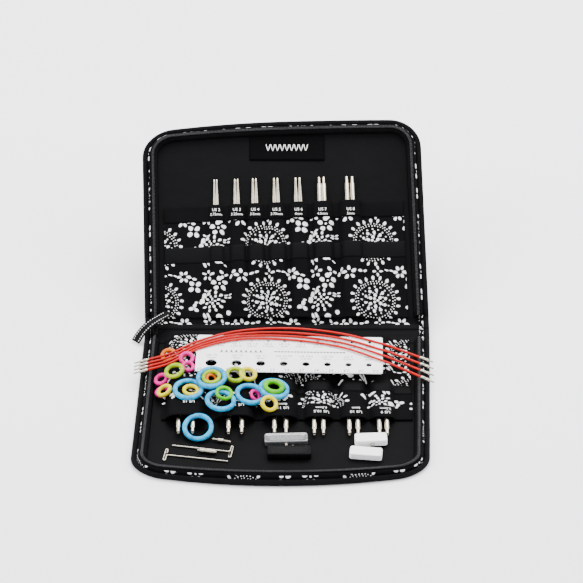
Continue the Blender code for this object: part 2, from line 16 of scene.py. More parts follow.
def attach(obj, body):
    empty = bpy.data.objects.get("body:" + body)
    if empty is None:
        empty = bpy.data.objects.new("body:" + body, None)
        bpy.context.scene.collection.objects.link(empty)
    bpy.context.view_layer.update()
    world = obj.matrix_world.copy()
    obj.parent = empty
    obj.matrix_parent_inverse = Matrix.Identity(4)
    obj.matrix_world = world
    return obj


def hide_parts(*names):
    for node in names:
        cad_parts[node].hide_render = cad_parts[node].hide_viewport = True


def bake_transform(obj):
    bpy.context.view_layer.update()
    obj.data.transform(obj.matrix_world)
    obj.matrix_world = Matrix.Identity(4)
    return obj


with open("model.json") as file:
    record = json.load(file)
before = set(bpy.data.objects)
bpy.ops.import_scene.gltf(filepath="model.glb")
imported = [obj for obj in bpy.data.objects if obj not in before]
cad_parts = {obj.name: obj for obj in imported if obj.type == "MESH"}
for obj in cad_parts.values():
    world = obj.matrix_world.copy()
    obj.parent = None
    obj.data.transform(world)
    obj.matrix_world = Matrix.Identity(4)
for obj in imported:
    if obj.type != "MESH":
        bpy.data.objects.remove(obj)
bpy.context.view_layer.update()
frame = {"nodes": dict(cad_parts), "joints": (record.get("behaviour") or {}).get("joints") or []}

# ---------------- the case's own measures, as in the frame

HINGE_AT = {j["name"]: Vector(j["pos_m"]) for j in frame["joints"] if j["type"] == "hinge"}
FOLD_A, FOLD_B = HINGE_AT["spine_fold"], HINGE_AT["lid_fold"]
HINGE_HEIGHT = FOLD_A.z
BOARD = 2 * HINGE_HEIGHT
SPINE_TILT = math.atan2(FOLD_B.z - FOLD_A.z, FOLD_B.y - FOLD_A.y)
SPINE_WIDTH = (FOLD_B - FOLD_A).length
CASE_WIDTH = 0.248
HALF_DEPTH = 0.190
CORNER_RADIUS = 0.027
RIM_START = 0.0045
WALL_TOP = 0.0082
COIL_INSET = 0.0092
COIL_HEIGHT = WALL_TOP + 0.0013
GAP = 0.0003
HALVES = {
    "lower": {"lean": 0.034, "slope": 0.0, "drop": (0.0135, 0.0145)},
    "lid": {"lean": -0.028, "slope": 0.033, "drop": (0.0075, 0.0025)},
}
SLOPE_FROM = 0.060
DROP_POWER = 5
# Steps along the rim: round a corner, up a side and across the far edge
ARC_STEPS = 12
SIDE_STEPS = 24
FAR_STEPS = 30
LOWEST = 0.0001  # cloth stays this high above the floor
TURNED_SHARP = math.radians(42)

TO_UNDERSIDE = Matrix.Translation((0, 0, -HINGE_HEIGHT))
PLACE = {
    "lower": Matrix.Translation((0, FOLD_A.y, 0)) @ Matrix.Rotation(math.pi, 4, "Z"),
    "spine": Matrix.Translation(FOLD_A) @ Matrix.Rotation(SPINE_TILT, 4, "X") @ TO_UNDERSIDE,
    "lid": Matrix.Translation(FOLD_B) @ Matrix.Rotation(2 * SPINE_TILT, 4, "X") @ TO_UNDERSIDE,
}
BODY = {"lower": "lower_half", "spine": "spine", "lid": "lid"}

# Pockets: the printed panel over the points, a plain black band, the printed strip and its black hem, each
# as (start, end) from the hinge. In the lower half the bumps of the tips draw the free edges outwards.
POCKETS = {
    "lower": {"panel": (0.0035, 0.0665), "band": (0.0655, 0.0765), "strip": (0.0740, 0.0950),
              "hem": (0.0945, 0.1098)},
    "lid": {"panel": (0.0035, 0.0575), "band": (0.0570, 0.0722), "strip": (0.0712, 0.0962),
            "hem": (0.0957, 0.1107)},
}
POCKET_REACH = 0.106  # from the middle to either side
POCKET_CLOTH = 0.0007
HEM_CLOTH = 0.0010
BAND_PUFF = {"lower": 0.0011, "lid": 0.0006}
HEM_DRAWN = 0.52  # how far a bump draws the hem out, as a part of its height
HEM_SEAM = 0.40  # how much of that the seam above the hem moves
HEM_TURN = 0.035  # and how much the lower half's seam turns
TIP_LENGTH = 0.127
TIP_TAPER = 3.1  # length of the point, in diameters
TIP_POINT = {"lower": 0.0035, "lid": 0.0080}
TIP_LEAN = {"lower": 0.0, "lid": HALVES["lid"]["lean"]}
TIP_LEAN_AT = 0.105  # how far from the lid's hinge the middles of its pairs are taken
TIP_SPLAY = {"lower": 0.0, "lid": math.radians(0.35)}
LID_TIPS = ("2_75", "3_25", "3_5", "3_75", "4", "4_5", "5")
US_SIZES = {"2_75": "2", "3_25": "3", "3_5": "4", "3_75": "5", "4": "6", "4_5": "7", "5": "8",
            "5_5": "9", "6": "10", "6_5": "10.5", "8": "11", "9": "13", "10": "15"}

# The print repeats in a tile of medallions and bouquets, in millimetres
PRINT_ACROSS = 95.0
PRINT_DOWN = 53.0
PRINT_WOBBLE = 1.5
PETAL_EDGE = 0.84  # a petal is solid within this part of its size
# Where a medallion's middle lies on each printed piece, in metres: across the half, and away from its hinge
PRINT_SHIFT = {
    "lid": {"panel": (-0.0170, 0.0190), "strip": (-0.0170, 0.0720)},
    "lower": {"panel": (-0.0120, 0.0210), "strip": (-0.0307, 0.0941)},
}


def tip_size(name):
    return name.removeprefix("tip_pair_").removesuffix("mm")


def tips_from_frame():
    """Each pair's diameter, middle, spacing, name and point, measured on the frame in its half's frame."""
    found = {"lower": [], "lid": []}
    for name, node in frame["nodes"].items():
        if not name.startswith("tip_pair_"):
            continue
        size = tip_size(name)
        half = "lid" if size in LID_TIPS else "lower"
        to_half = PLACE[half].inverted()
        points = [to_half @ v.co for v in node.data.vertices]
        across = [p.x - TIP_LEAN[half] * (p.y - TIP_LEAN_AT) for p in points]
        diameter = float(size.replace("_", ".")) / 1000
        apart = max(across) - min(across) - diameter
        middle = (max(across) + min(across)) / 2
        found[half].append((diameter, middle, apart, name, min(p.y for p in points)))
    return {half: sorted(pairs) for half, pairs in found.items()}


TIPS = tips_from_frame()

# ---------------- node helpers


class Tree:
    """Short calls for building a material's nodes."""

    def __init__(self, tree):
        self.tree = tree

    def add(self, kind, **values):
        n = self.tree.nodes.new(kind)
        for k, v in values.items():
            setattr(n, k, v)
        return n

    def put(self, socket, value):
        if isinstance(value, bpy.types.NodeSocket):
            self.tree.links.new(value, socket)
        elif value is not None:
            socket.default_value = value

    def math(self, operation, a, b=None, c=None, clamp=False):
        n = self.add("ShaderNodeMath", operation=operation, use_clamp=clamp)
        for i, v in enumerate((a, b, c)):
            self.put(n.inputs[i], v)
        return n.outputs[0]

    def vector(self, operation, a, b=None, c=None, scale=None):
        n = self.add("ShaderNodeVectorMath", operation=operation)
        for i, v in enumerate((a, b, c)):
            if v is not None:
                self.put(n.inputs[i], v)
        if scale is not None:
            self.put(n.inputs["Scale"], scale)
        return n.outputs["Value"] if operation in ("LENGTH", "DOT_PRODUCT", "DISTANCE") else n.outputs[0]

    def split(self, v):
        n = self.add("ShaderNodeSeparateXYZ")
        self.put(n.inputs[0], v)
        return n.outputs

    def join(self, x=0.0, y=0.0, z=0.0):
        n = self.add("ShaderNodeCombineXYZ")
        for i, v in enumerate((x, y, z)):
            self.put(n.inputs[i], v)
        return n.outputs[0]

    def mix(self, factor, a, b):
        n = self.add("ShaderNodeMix", data_type="RGBA")  # its colours are inputs 6 and 7 and output 2
        self.put(n.inputs[0], factor)
        for socket, colour in zip(n.inputs[6:8], (a, b)):
            self.put(socket, (*colour, 1.0) if isinstance(colour, tuple) else colour)
        return n.outputs[2]

    def span(self, value, low, high, to_low=0.0, to_high=1.0):
        n = self.add("ShaderNodeMapRange")
        for i, v in enumerate((value, low, high, to_low, to_high)):
            self.put(n.inputs[i], v)
        return n.outputs[0]

    def noise(self, vector, scale, detail=2.0, colour=False, roughness=0.5):
        n = self.add("ShaderNodeTexNoise")
        self.put(n.inputs["Vector"], vector)
        n.inputs["Scale"].default_value = scale
        n.inputs["Detail"].default_value = detail
        n.inputs["Roughness"].default_value = roughness
        return n.outputs["Color" if colour else "Fac"]

    def bump(self, height, strength, distance, normal=None):
        n = self.add("ShaderNodeBump")
        n.inputs["Strength"].default_value = strength
        n.inputs["Distance"].default_value = distance
        self.put(n.inputs["Height"], height)
        if normal is not None:
            self.put(n.inputs["Normal"], normal)
        return n.outputs[0]


def material(name, **values):
    """A new material; returns it, its tree and its shader."""
    m = bpy.data.materials.new(name)
    m.use_nodes = True
    shader = m.node_tree.nodes["Principled BSDF"]
    for k, v in values.items():
        shader.inputs[k.replace("_", " ")].default_value = (*v, 1.0) if isinstance(v, tuple) else v
    return m, Tree(m.node_tree), shader


def dress(t, shader, colour, normal, roughness=None):
    """Connect the shader's colour, its normal and, where it varies, its roughness."""
    t.put(shader.inputs["Base Color"], colour)
    t.put(shader.inputs["Normal"], normal)
    t.put(shader.inputs["Roughness"], roughness)


def local(t):
    return t.add("ShaderNodeTexCoord").outputs["Object"]


def cloth_place(t):
    """The place on the flat fabric, in millimetres."""
    n = t.add("ShaderNodeAttribute", attribute_name="cloth")
    return t.vector("SCALE", n.outputs["Vector"], scale=1000.0)


# ---------------- the print

def ring_group():
    """A node group: like petals in a ring. Each is an ellipse with its middle at the radius."""
    tree = bpy.data.node_groups.new("petal_ring", "ShaderNodeTree")
    face = tree.interface
    face.new_socket("Place", in_out="INPUT", socket_type="NodeSocketVector")
    for name in ("Count", "Radius", "Long", "Wide", "Turn"):
        face.new_socket(name, in_out="INPUT", socket_type="NodeSocketFloat")
    face.new_socket("Mask", in_out="OUTPUT", socket_type="NodeSocketFloat")
    t = Tree(tree)
    given = t.add("NodeGroupInput").outputs
    x, y, _ = t.split(given["Place"])
    away = t.vector("LENGTH", t.join(x, y))
    turned = t.math("ADD", t.math("ARCTAN2", y, x), given["Turn"])
    petal = t.math("MULTIPLY", turned, t.math("DIVIDE", given["Count"], 2 * math.pi))
    off = t.math("SUBTRACT", petal, t.math("ROUND", petal))
    angle = t.math("MULTIPLY", off, t.math("DIVIDE", 2 * math.pi, given["Count"]))
    along = t.math("SUBTRACT", t.math("MULTIPLY", away, t.math("COSINE", angle)), given["Radius"])
    across = t.math("MULTIPLY", away, t.math("SINE", angle))
    size = t.vector("LENGTH", t.join(t.math("DIVIDE", along, given["Long"]),
                                     t.math("DIVIDE", across, given["Wide"])))
    t.put(t.add("NodeGroupOutput").inputs[0], t.span(size, 1.00, PETAL_EDGE))
    return tree


# Each motif is rings of petals in millimetres: the middle's x and y, count, radius, half length, half width
# and turn in degrees
MEDALLION = [
    (0, 0, 20, 20.4, 1.9, 1.25, 4), (0, 0, 42, 17.3, 0.55, 0.50, 0), (0, 0, 38, 15.4, 0.50, 0.50, 7),
    (0, 0, 16, 12.4, 0.75, 0.65, 0), (0, 0, 10, 9.2, 1.6, 1.35, 10), (0, 0, 6, 5.0, 1.7, 1.45, 30),
    (0.3, 0.4, 3, 1.8, 1.2, 1.1, 0), (0, 0, 13, 7.2, 0.6, 0.6, -5),
]
BOUQUET = [
    (0, 0, 10, 8.8, 1.7, 1.15, 0), (0, 0, 8, 5.3, 1.5, 1.0, 14), (0, 0, 4, 2.1, 1.2, 0.9, 0),
    (-8.2, 3.6, 2, 2.6, 2.8, 2.0, 68), (6.2, 16.8, 5, 5.0, 2.3, 2.1, 20), (6.2, 16.8, 1, 0.0, 0.9, 0.9, 0),
    (-15.5, 15.0, 4, 4.1, 2.5, 2.1, 38), (-16.5, -5.5, 3, 2.7, 2.4, 1.6, 75),
    (-6.8, -15.0, 1, 0.0, 5.0, 1.3, -72), (-3.6, -14.2, 1, 0.0, 4.4, 1.2, -66),
    (5.2, -14.6, 1, 0.0, 2.8, 2.6, 0), (13.6, -10.2, 1, 0.0, 2.4, 2.2, 0), (13.2, 4.2, 2, 2.0, 1.8, 0.8, 5),
    (13.6, 6.6, 2, 2.0, 1.7, 0.8, 12), (-4.0, 9.8, 3, 2.2, 1.7, 0.9, 30),
    (9.5, -17.0, 2, 2.4, 1.9, 0.8, -30), (-12.5, -0.5, 2, 2.0, 1.6, 1.0, -10),
]
SPRIGS = [
    (22.5, 25.0, 6, 3.9, 2.0, 1.4, 0), (-22.0, 24.0, 5, 4.2, 2.3, 1.5, 25),
    (-29.5, 26.0, 2, 2.4, 1.9, 1.2, 60), (29.5, 23.5, 2, 2.4, 2.1, 1.1, -20),
    (44.0, 26.0, 5, 3.6, 1.9, 1.2, 10), (3.0, 26.3, 4, 3.0, 1.7, 1.0, 90),
    (-10.5, 26.3, 2, 2.3, 1.9, 1.3, 15), (13.0, 26.5, 2, 2.2, 2.0, 0.8, -12),
    (-38.0, 25.5, 3, 2.8, 2.0, 1.2, 5),
]


def print_mask(t, place):
    """1 on the print's white shapes and 0 on its black ground."""
    ring = bpy.data.node_groups.get("petal_ring") or ring_group()
    wobble = t.vector("SUBTRACT", t.noise(place, 0.34, 1.5, colour=True), (0.5, 0.5, 0.5))
    place = t.vector("ADD", place, t.vector("SCALE", wobble, scale=PRINT_WOBBLE))
    masks = []
    for rings, middle in ((MEDALLION, 0.0), (BOUQUET, PRINT_ACROSS / 2), (SPRIGS, 0.0)):
        moved = t.vector("SUBTRACT", place, (middle, 0.0, 0.0))
        for x, y, count, radius, long, wide, turn in rings:
            at = t.vector("SUBTRACT", moved, (x, y, 0.0))
            half = (PRINT_ACROSS / 2, PRINT_DOWN / 2, 1.0)
            wrapped = t.vector("WRAP", at, half, tuple(-h for h in half))
            n = t.add("ShaderNodeGroup", node_tree=ring)
            for socket, value in zip(n.inputs, (wrapped, count, radius, long, wide, -math.radians(turn))):
                t.put(socket, value)
            masks.append(n.outputs[0])
    total = masks[0]
    for m in masks[1:]:
        total = t.math("MAXIMUM", total, m)
    return total


def weave(t, place, pitch, twill=False):
    """Height of a plain or twill weave with that pitch in millimetres."""
    x, y, _ = t.split(place)
    if twill:
        x = t.math("ADD", x, y)
    a = t.math("SINE", t.math("MULTIPLY", x, 2 * math.pi / pitch))
    b = t.math("SINE", t.math("MULTIPLY", y, 2 * math.pi / pitch))
    return t.math("MULTIPLY", a, b)


def cloth_material(name, printed):
    m, t, shader = material(name, Roughness=0.85, Specular_IOR_Level=0.04)
    place = cloth_place(t)
    colour = t.mix(t.noise(place, 0.05, 4.0), (0.0010, 0.0010, 0.0012), (0.0028, 0.0028, 0.0032))
    height = t.math("ADD", weave(t, place, 0.42), t.math("MULTIPLY", t.noise(place, 1.6, 3.0), 0.8))
    if printed:
        ink = print_mask(t, place)
        worn = t.span(t.noise(place, 3.2, 3.0), 0.25, 0.6, 0.80, 1.0)
        colour = t.mix(t.math("MULTIPLY", ink, worn), colour, (0.83, 0.83, 0.82))
        height = t.math("ADD", height, t.math("MULTIPLY", ink, 0.7))
    dress(t, shader, colour, t.bump(height, 0.35, 0.00012))
    return m


def satin_material():
    """Smooth black lining, with soft broad creases."""
    m, t, shader = material("black_lining", Roughness=0.65, Specular_IOR_Level=0.045)
    place = cloth_place(t)
    colour = t.mix(t.noise(place, 0.025, 3.0), (0.0009, 0.0009, 0.0011), (0.0022, 0.0022, 0.0026))
    fine = t.bump(weave(t, place, 0.30, twill=True), 0.25, 0.00008)
    dress(t, shader, colour, t.bump(t.noise(place, 0.045, 3.0), 0.5, 0.0016, fine))
    return m


def tape_material():
    """Twilled zipper tape and piping."""
    m, t, shader = material("black_tape", Roughness=0.70, Specular_IOR_Level=0.05)
    place = cloth_place(t)
    colour = t.mix(t.noise(place, 0.2, 3.0), (0.0009, 0.0009, 0.0011), (0.0026, 0.0026, 0.0030))
    dress(t, shader, colour, t.bump(weave(t, place, 0.55, twill=True), 0.6, 0.00012))
    return m


def ribbed_material(name, pitch, dark, light, bump, twill=False, **values):
    """A narrow weave whose ribs are lighter than its ground; bump is its strength and distance."""
    m, t, shader = material(name, **values)
    rib = weave(t, cloth_place(t), pitch, twill)
    dress(t, shader, t.mix(t.span(rib, -1, 1), dark, light), t.bump(rib, *bump))
    return m


def steel_material():
    """Plated steel with fine marks along each piece."""
    m, t, shader = material("nickel_steel", Metallic=1.0, Roughness=0.24)
    place = local(t)
    marks = t.noise(t.vector("MULTIPLY", place, (900.0, 900.0, 60.0)), 1.0, 2.0)
    colour = t.mix(t.noise(place, 90.0, 2.0), (0.38, 0.34, 0.27), (0.54, 0.50, 0.42))
    dress(t, shader, colour, t.bump(marks, 0.08, 0.0002), t.span(marks, 0.3, 0.7, 0.18, 0.32))
    return m


def plastic_material(name, low, high, roughness, speckle=260.0, **values):
    """Moulded plastic whose colour drifts between two tones."""
    m, t, shader = material(name, Roughness=roughness, **values)
    place = local(t)
    colour = t.mix(t.span(t.noise(place, speckle, 4.0, roughness=0.65), 0.36, 0.64), low, high)
    rough = t.span(t.noise(place, 700.0, 2.0), 0.3, 0.7, roughness * 0.8, roughness * 1.25)
    dress(t, shader, colour, t.bump(t.noise(place, 900.0, 3.0), 0.12, 0.0002), rough)
    return m


def sheath_material():
    """Glossy red nylon that faintly shows the strands below it."""
    m, t, shader = material("red_sheath", Roughness=0.32, Specular_IOR_Level=0.15, Coat_Weight=0.05)
    place = local(t)
    wave = t.add("ShaderNodeTexWave", wave_type="BANDS", bands_direction="DIAGONAL")
    t.put(wave.inputs["Vector"], place)
    t.put(wave.inputs["Scale"], 420.0)
    strands = wave.outputs["Fac"]
    tone = t.math("MULTIPLY_ADD", strands, 0.35, t.math("MULTIPLY", t.noise(place, 60.0, 2.0), 0.6))
    dress(t, shader, t.mix(tone, (0.28, 0.0, 0.0), (0.52, 0.004, 0.001)), t.bump(strands, 0.05, 0.0001))
    return m


PRINT = cloth_material("floral_print", True)
BLACK_CLOTH = cloth_material("black_cotton", False)
LINING = satin_material()
TAPE = tape_material()
STEEL = steel_material()
# Copy of black plastic for the first black end stopper. Its coat is a real gloss, but its base colour is a
# lighter grey than the plain black plastic: painted reflection of the light on its top.
GLOSS_BLACK_PAINTED_LIT = plastic_material("gloss_black_plastic_painted_lit", (0.045, 0.045, 0.048), (0.060, 0.060, 0.064), 0.20,
                               Specular_IOR_Level=1.0, Coat_Weight=1.0, Coat_Roughness=0.12)
BLACK_PLASTIC = plastic_material("black_plastic", (0.0012, 0.0012, 0.0014), (0.0024, 0.0024, 0.0026), 0.50,
                                 Specular_IOR_Level=0.06)
WHITE_PLASTIC = plastic_material("white_plastic", (0.84, 0.84, 0.85), (0.91, 0.91, 0.91), 0.34)
COIL_NYLON = plastic_material("coil_nylon", (0.008, 0.008, 0.009), (0.016, 0.016, 0.018), 0.34)
SHEATH = sheath_material()
THREAD = plastic_material("white_thread", (0.72, 0.72, 0.70), (0.88, 0.88, 0.86), 0.8, speckle=2400.0)
GREY_INK = plastic_material("grey_ink", (0.012, 0.012, 0.013), (0.022, 0.022, 0.024), 0.6, speckle=1500.0)
RIBBON = ribbed_material("ribbon_weave", 0.9, (0.0010, 0.0011, 0.0013), (0.0055, 0.0058, 0.0064),
                         (0.6, 0.0002), Roughness=0.75, Specular_IOR_Level=0.08)
LABEL_CLOTH = ribbed_material("label_weave", 0.5, (0.0006, 0.0006, 0.0007), (0.0015, 0.0015, 0.0018),
                              (0.4, 0.00012), twill=True, Roughness=0.8, Specular_IOR_Level=0.03)
MARKER_TONES = {
    "blue": ((0.0, 0.15, 0.38), (0.012, 0.36, 0.60)),
    "green": ((0.15, 0.27, 0.0), (0.33, 0.42, 0.0)),
    "bright": ((0.03, 0.26, 0.0), (0.10, 0.42, 0.0)),
    "yellow": ((0.50, 0.39, 0.0), (0.62, 0.53, 0.0)),
    "orange": ((0.50, 0.07, 0.0), (0.62, 0.16, 0.0)),
    "pink": ((0.44, 0.0, 0.11), (0.60, 0.004, 0.23)),
}
MARKER = {
    name: plastic_material(f"{name}_marker", low, high, 0.34, speckle=190.0, Specular_IOR_Level=0.15)
    for name, (low, high) in MARKER_TONES.items()
}

# ---------------- mesh helpers


def linked(name, data, place=None):
    """A new object in the scene."""
    o = bpy.data.objects.new(name, data)
    bpy.context.scene.collection.objects.link(o)
    if place is not None:
        o.matrix_world = place
    return o


def mesh_object(name, verts, faces, mats, cloth=None, place=None, face_slots=None):
    mesh = bpy.data.meshes.new(name)
    mesh.from_pydata([tuple(v) for v in verts], [], faces)
    if cloth is not None:
        layer = mesh.attributes.new("cloth", "FLOAT_VECTOR", "POINT")
        layer.data.foreach_set("vector", np.asarray(cloth, np.float32).ravel())
    for m in mats:
        mesh.materials.append(m)
    if face_slots is not None:
        mesh.polygons.foreach_set("material_index", face_slots)
    mesh.shade_smooth()
    return linked(name, mesh, place)


def face_outwards(o, weld=0.0):
    """Turn every face to the outside, once points closer than weld are joined."""
    bm = bmesh.new()
    bm.from_mesh(o.data)
    if weld:
        bmesh.ops.remove_doubles(bm, verts=bm.verts, dist=weld)
    bmesh.ops.recalc_face_normals(bm, faces=bm.faces)
    bm.to_mesh(o.data)
    bm.free()


def thicken(o, thickness, offset):
    """Make a sheet solid: offset 1 adds above it, -1 below it and 0 on both sides."""
    solid = o.modifiers.new("thickness", "SOLIDIFY")
    solid.thickness = thickness
    solid.offset = offset


def circle_angles(steps):
    return [2 * math.pi * k / steps for k in range(steps)]


def arc(cx, cy, r, first, last, steps):
    """Points on an arc between two angles in degrees, with both its ends."""
    return [(cx + r * math.cos(a), cy + r * math.sin(a))
            for a in (math.radians(first + (last - first) * k / steps) for k in range(steps + 1))]


def rounded_outline(long, wide, corner):
    """A rectangle round the origin with round corners."""
    points = []
    for x, y, first in ((1, -1, -90), (1, 1, 0), (-1, 1, 90), (-1, -1, 180)):
        points += arc(x * (long / 2 - corner), y * (wide / 2 - corner), corner, first, first + 90, 6)
    return points


def facing(at, heading):
    """A place whose Z axis runs along the heading."""
    return Matrix.Translation(at) @ heading.to_track_quat("Z", "Y").to_matrix().to_4x4()


def settle(o, body, *nodes, finish=None):
    """The piece stands for its CAD nodes, if any, and moves with its body."""
    bpy.context.view_layer.update()
    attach(o, body)
    if nodes:
        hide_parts(*nodes)
    return o


def grid_faces(rows, columns, closed=False):
    """Faces between rows of points; closed joins each row's last point to its first."""
    faces = []
    for j in range(rows - 1):
        for i in range(columns if closed else columns - 1):
            k = (i + 1) % columns
            faces.append((j * columns + i, j * columns + k, (j + 1) * columns + k, (j + 1) * columns + i))
    return faces


def swept(name, rings, mats, cloth=None, place=None):
    """A solid through closed rings of points, with flat ends."""
    rows, n = len(rings), len(rings[0])
    verts = [p for ring in rings for p in ring]
    faces = grid_faces(rows, n, closed=True)
    faces += [tuple(range(n))[::-1], tuple((rows - 1) * n + i for i in range(n))]
    o = mesh_object(name, verts, faces, mats, cloth, place)
    face_outwards(o)
    return o


def round_tube(name, path, radius, mats, sides=10, place=None):
    """A tube along a path of points, with its rings kept from twisting."""
    rings = []
    normal = None
    for i, p in enumerate(path):
        ahead = path[min(i + 1, len(path) - 1)] - path[max(i - 1, 0)]
        ahead.normalize()
        if normal is None:
            normal = ahead.orthogonal().normalized()
        normal = (normal - ahead * normal.dot(ahead)).normalized()
        side = ahead.cross(normal)
        rings.append([p + radius * (math.cos(a) * normal + math.sin(a) * side) for a in circle_angles(sides)])
    return swept(name, rings, mats, place=place)


def turned(name, profile, mats, steps=28, place=None):
    """A solid turned about Z from (radius, height) points, which begin and end on the axis."""
    rings = [[Vector((r * math.cos(a), r * math.sin(a), z)) for a in circle_angles(steps)]
             for r, z in profile[1:-1]]
    verts = [p for ring in rings for p in ring] + [Vector((0, 0, z)) for _, z in (profile[0], profile[-1])]
    faces = grid_faces(len(rings), steps, closed=True)
    first, last = len(verts) - 2, len(verts) - 1
    base = (len(rings) - 1) * steps
    for k in range(steps):
        faces.append((first, (k + 1) % steps, k))
        faces.append((last, base + k, base + (k + 1) % steps))
    o = mesh_object(name, verts, faces, mats, place=place)
    face_outwards(o)
    o.data.set_sharp_from_angle(angle=TURNED_SHARP)
    return o


def merged(name, parts):
    """One object made of several, each in place."""
    bpy.context.view_layer.update()
    for o in parts:
        o.data.transform(parts[0].matrix_world.inverted() @ o.matrix_world)
        o.matrix_world = parts[0].matrix_world.copy()
    with bpy.context.temp_override(active_object=parts[0], selected_editable_objects=parts):
        bpy.ops.object.join()
    parts[0].name = name
    return parts[0]


def smooth_route(points, step):
    """Points evenly spaced on a smooth curve through the route's own points."""
    p = [Vector(q) for q in points]
    p = [2 * p[0] - p[1], *p, 2 * p[-1] - p[-2]]
    fine = []
    for a, b, c, d in zip(p, p[1:], p[2:], p[3:]):
        for i in range(24):
            t = i / 24
            fine.append(0.5 * (2 * b + (c - a) * t + (2 * a - 5 * b + 4 * c - d) * t * t
                               + (3 * b - a - 3 * c + d) * t ** 3))
    fine.append(p[-2])
    along = np.cumsum([0.0] + [(b - a).length for a, b in zip(fine, fine[1:])])
    count = max(2, round(along[-1] / step))
    wanted = np.linspace(0, along[-1], count + 1)
    values = [np.interp(wanted, along, [q[k] for q in fine]) for k in range(3)]
    return [Vector(q) for q in zip(*values)]


# ---------------- outlines of the soft case

def soft(half, x, s):
    """Where a point of the true rectangle lies in the soft half, which leans and whose corners draw back."""
    shape = HALVES[half]
    across = x / (CASE_WIDTH / 2)
    slope = shape["slope"] * min(max(s, 0) / SLOPE_FROM, 1.0)
    drop = shape["drop"][x > 0] * across * across * max(s / HALF_DEPTH, 0) ** DROP_POWER
    return x + shape["lean"] * s, s + slope * x - drop


def rim_line(half, inset):
    """The half's outer edge moved inwards by inset, in many short steps."""
    w, far, r = CASE_WIDTH / 2 - inset, HALF_DEPTH - inset, CORNER_RADIUS - inset
    side = [RIM_START + (far - r - RIM_START) * i / SIDE_STEPS for i in range(SIDE_STEPS)]
    points = [(w, s) for s in side] + arc(w - r, far - r, r, 0, 90, ARC_STEPS)
    points += [((w - r) * (1 - 2 * i / FAR_STEPS), far) for i in range(1, FAR_STEPS)]
    points += arc(r - w, far - r, r, 90, 180, ARC_STEPS) + [(-w, s) for s in reversed(side)]
    return [soft(half, x, s) for x, s in points]


def rim_sweep(name, half, section, mats, shift=(0.0, 0.0), waver=0.0):
    """A solid along the rim. Its cloth place is the distance along the rim and round the section."""
    lines = [rim_line(half, inset) for inset, _ in section]
    round_it = np.cumsum([0.0] + [math.dist(a, b) for a, b in zip(section, section[1:])])
    rings, cloth, along = [], [], 0.0
    for i in range(len(lines[0])):
        if i:
            along += math.dist(lines[0][i], lines[0][i - 1])
        lift = waver * noise.noise(Vector((along * 28, 3.7, len(half))))
        rings.append([Vector((*line[i], max(z + lift * min(z / WALL_TOP, 1.0), LOWEST)))
                      for line, (_, z) in zip(lines, section)])
        cloth += [(along + shift[0], r + shift[1], 0.0) for r in round_it]
    return swept(name, rings, mats, cloth, PLACE[half])


# ---------------- camera first

def build_camera():
    """The photo's view: a long lens at the front, looking down on the open case."""
    target, elevation, distance = Vector((0, 0.105, 0.005)), math.radians(39), 2.6
    data = bpy.data.cameras.new("camera")
    data.lens = 183.8
    data.sensor_width = 36
    data.shift_x = 0.0077
    data.shift_y = 0.0652
    o = linked("camera", data)
    o.location = target + distance * Vector((0, -math.cos(elevation), math.sin(elevation)))
    o.rotation_euler = (math.pi / 2 - elevation, 0, 0)
    bpy.context.scene.camera = o


build_camera()

# ---------------- cables, on the frame's own routes

CABLE_DIAMETER = 0.0020
CABLE_STEP = 0.004
FITTING_LENGTH = 0.0125
FITTING_RADIUS = 0.0014
CABLE_ROUTES = [
    [(-0.119, 0.0520, 0.0147), (-0.100, 0.0585, 0.0163), (-0.075, 0.0755, 0.0168), (-0.041, 0.0895, 0.0160),
     (0.003, 0.0935, 0.0155), (0.046, 0.0860, 0.0160), (0.080, 0.0725, 0.0162), (0.097, 0.0645, 0.0152),
     (0.114, 0.0565, 0.0136)],
    [(-0.119, 0.0475, 0.0147), (-0.100, 0.0540, 0.0163), (-0.075, 0.0717, 0.0168), (-0.041, 0.0853, 0.0160),
     (0.003, 0.0875, 0.0155), (0.046, 0.0790, 0.0164), (0.080, 0.0632, 0.0170), (0.097, 0.0555, 0.0158),
     (0.114, 0.0480, 0.0136)],
    [(-0.119, 0.0430, 0.0147), (-0.100, 0.0497, 0.0163), (-0.075, 0.0680, 0.0171), (-0.041, 0.0812, 0.0163),
     (0.003, 0.0822, 0.0159), (0.046, 0.0724, 0.0170), (0.080, 0.0549, 0.0181), (0.097, 0.0466, 0.0164),
     (0.114, 0.0392, 0.0136)],
    [(-0.119, 0.0385, 0.0147), (-0.100, 0.0455, 0.0163), (-0.075, 0.0643, 0.0174), (-0.041, 0.0771, 0.0167),
     (0.003, 0.0768, 0.0165), (0.046, 0.0657, 0.0176), (0.080, 0.0467, 0.0188), (0.097, 0.0381, 0.0168),
     (0.114, 0.0305, 0.0136)],
]


def join_profile():
    """A crimped collar, a thin neck and a threaded end."""
    r, long = FITTING_RADIUS, FITTING_LENGTH
    profile = [(0.0, long), (0.00045, long), (0.00062, long - 0.0002)]
    z = long - 0.0003
    while z > long - 0.0038:
        profile += [(0.00072, z), (0.00056, z - 0.00018)]
        z -= 0.00036
    profile += [(0.00060, long - 0.0042), (0.0011, long - 0.0045), (r, long - 0.0052), (r, long - 0.0071),
                (r - 0.00018, long - 0.0073), (r - 0.00018, long - 0.0077), (r, long - 0.0079), (r, 0.0006),
                (r - 0.0002, 0.0001), (0.00105, 0.0)]
    return profile + [(0.0, 0.0)]


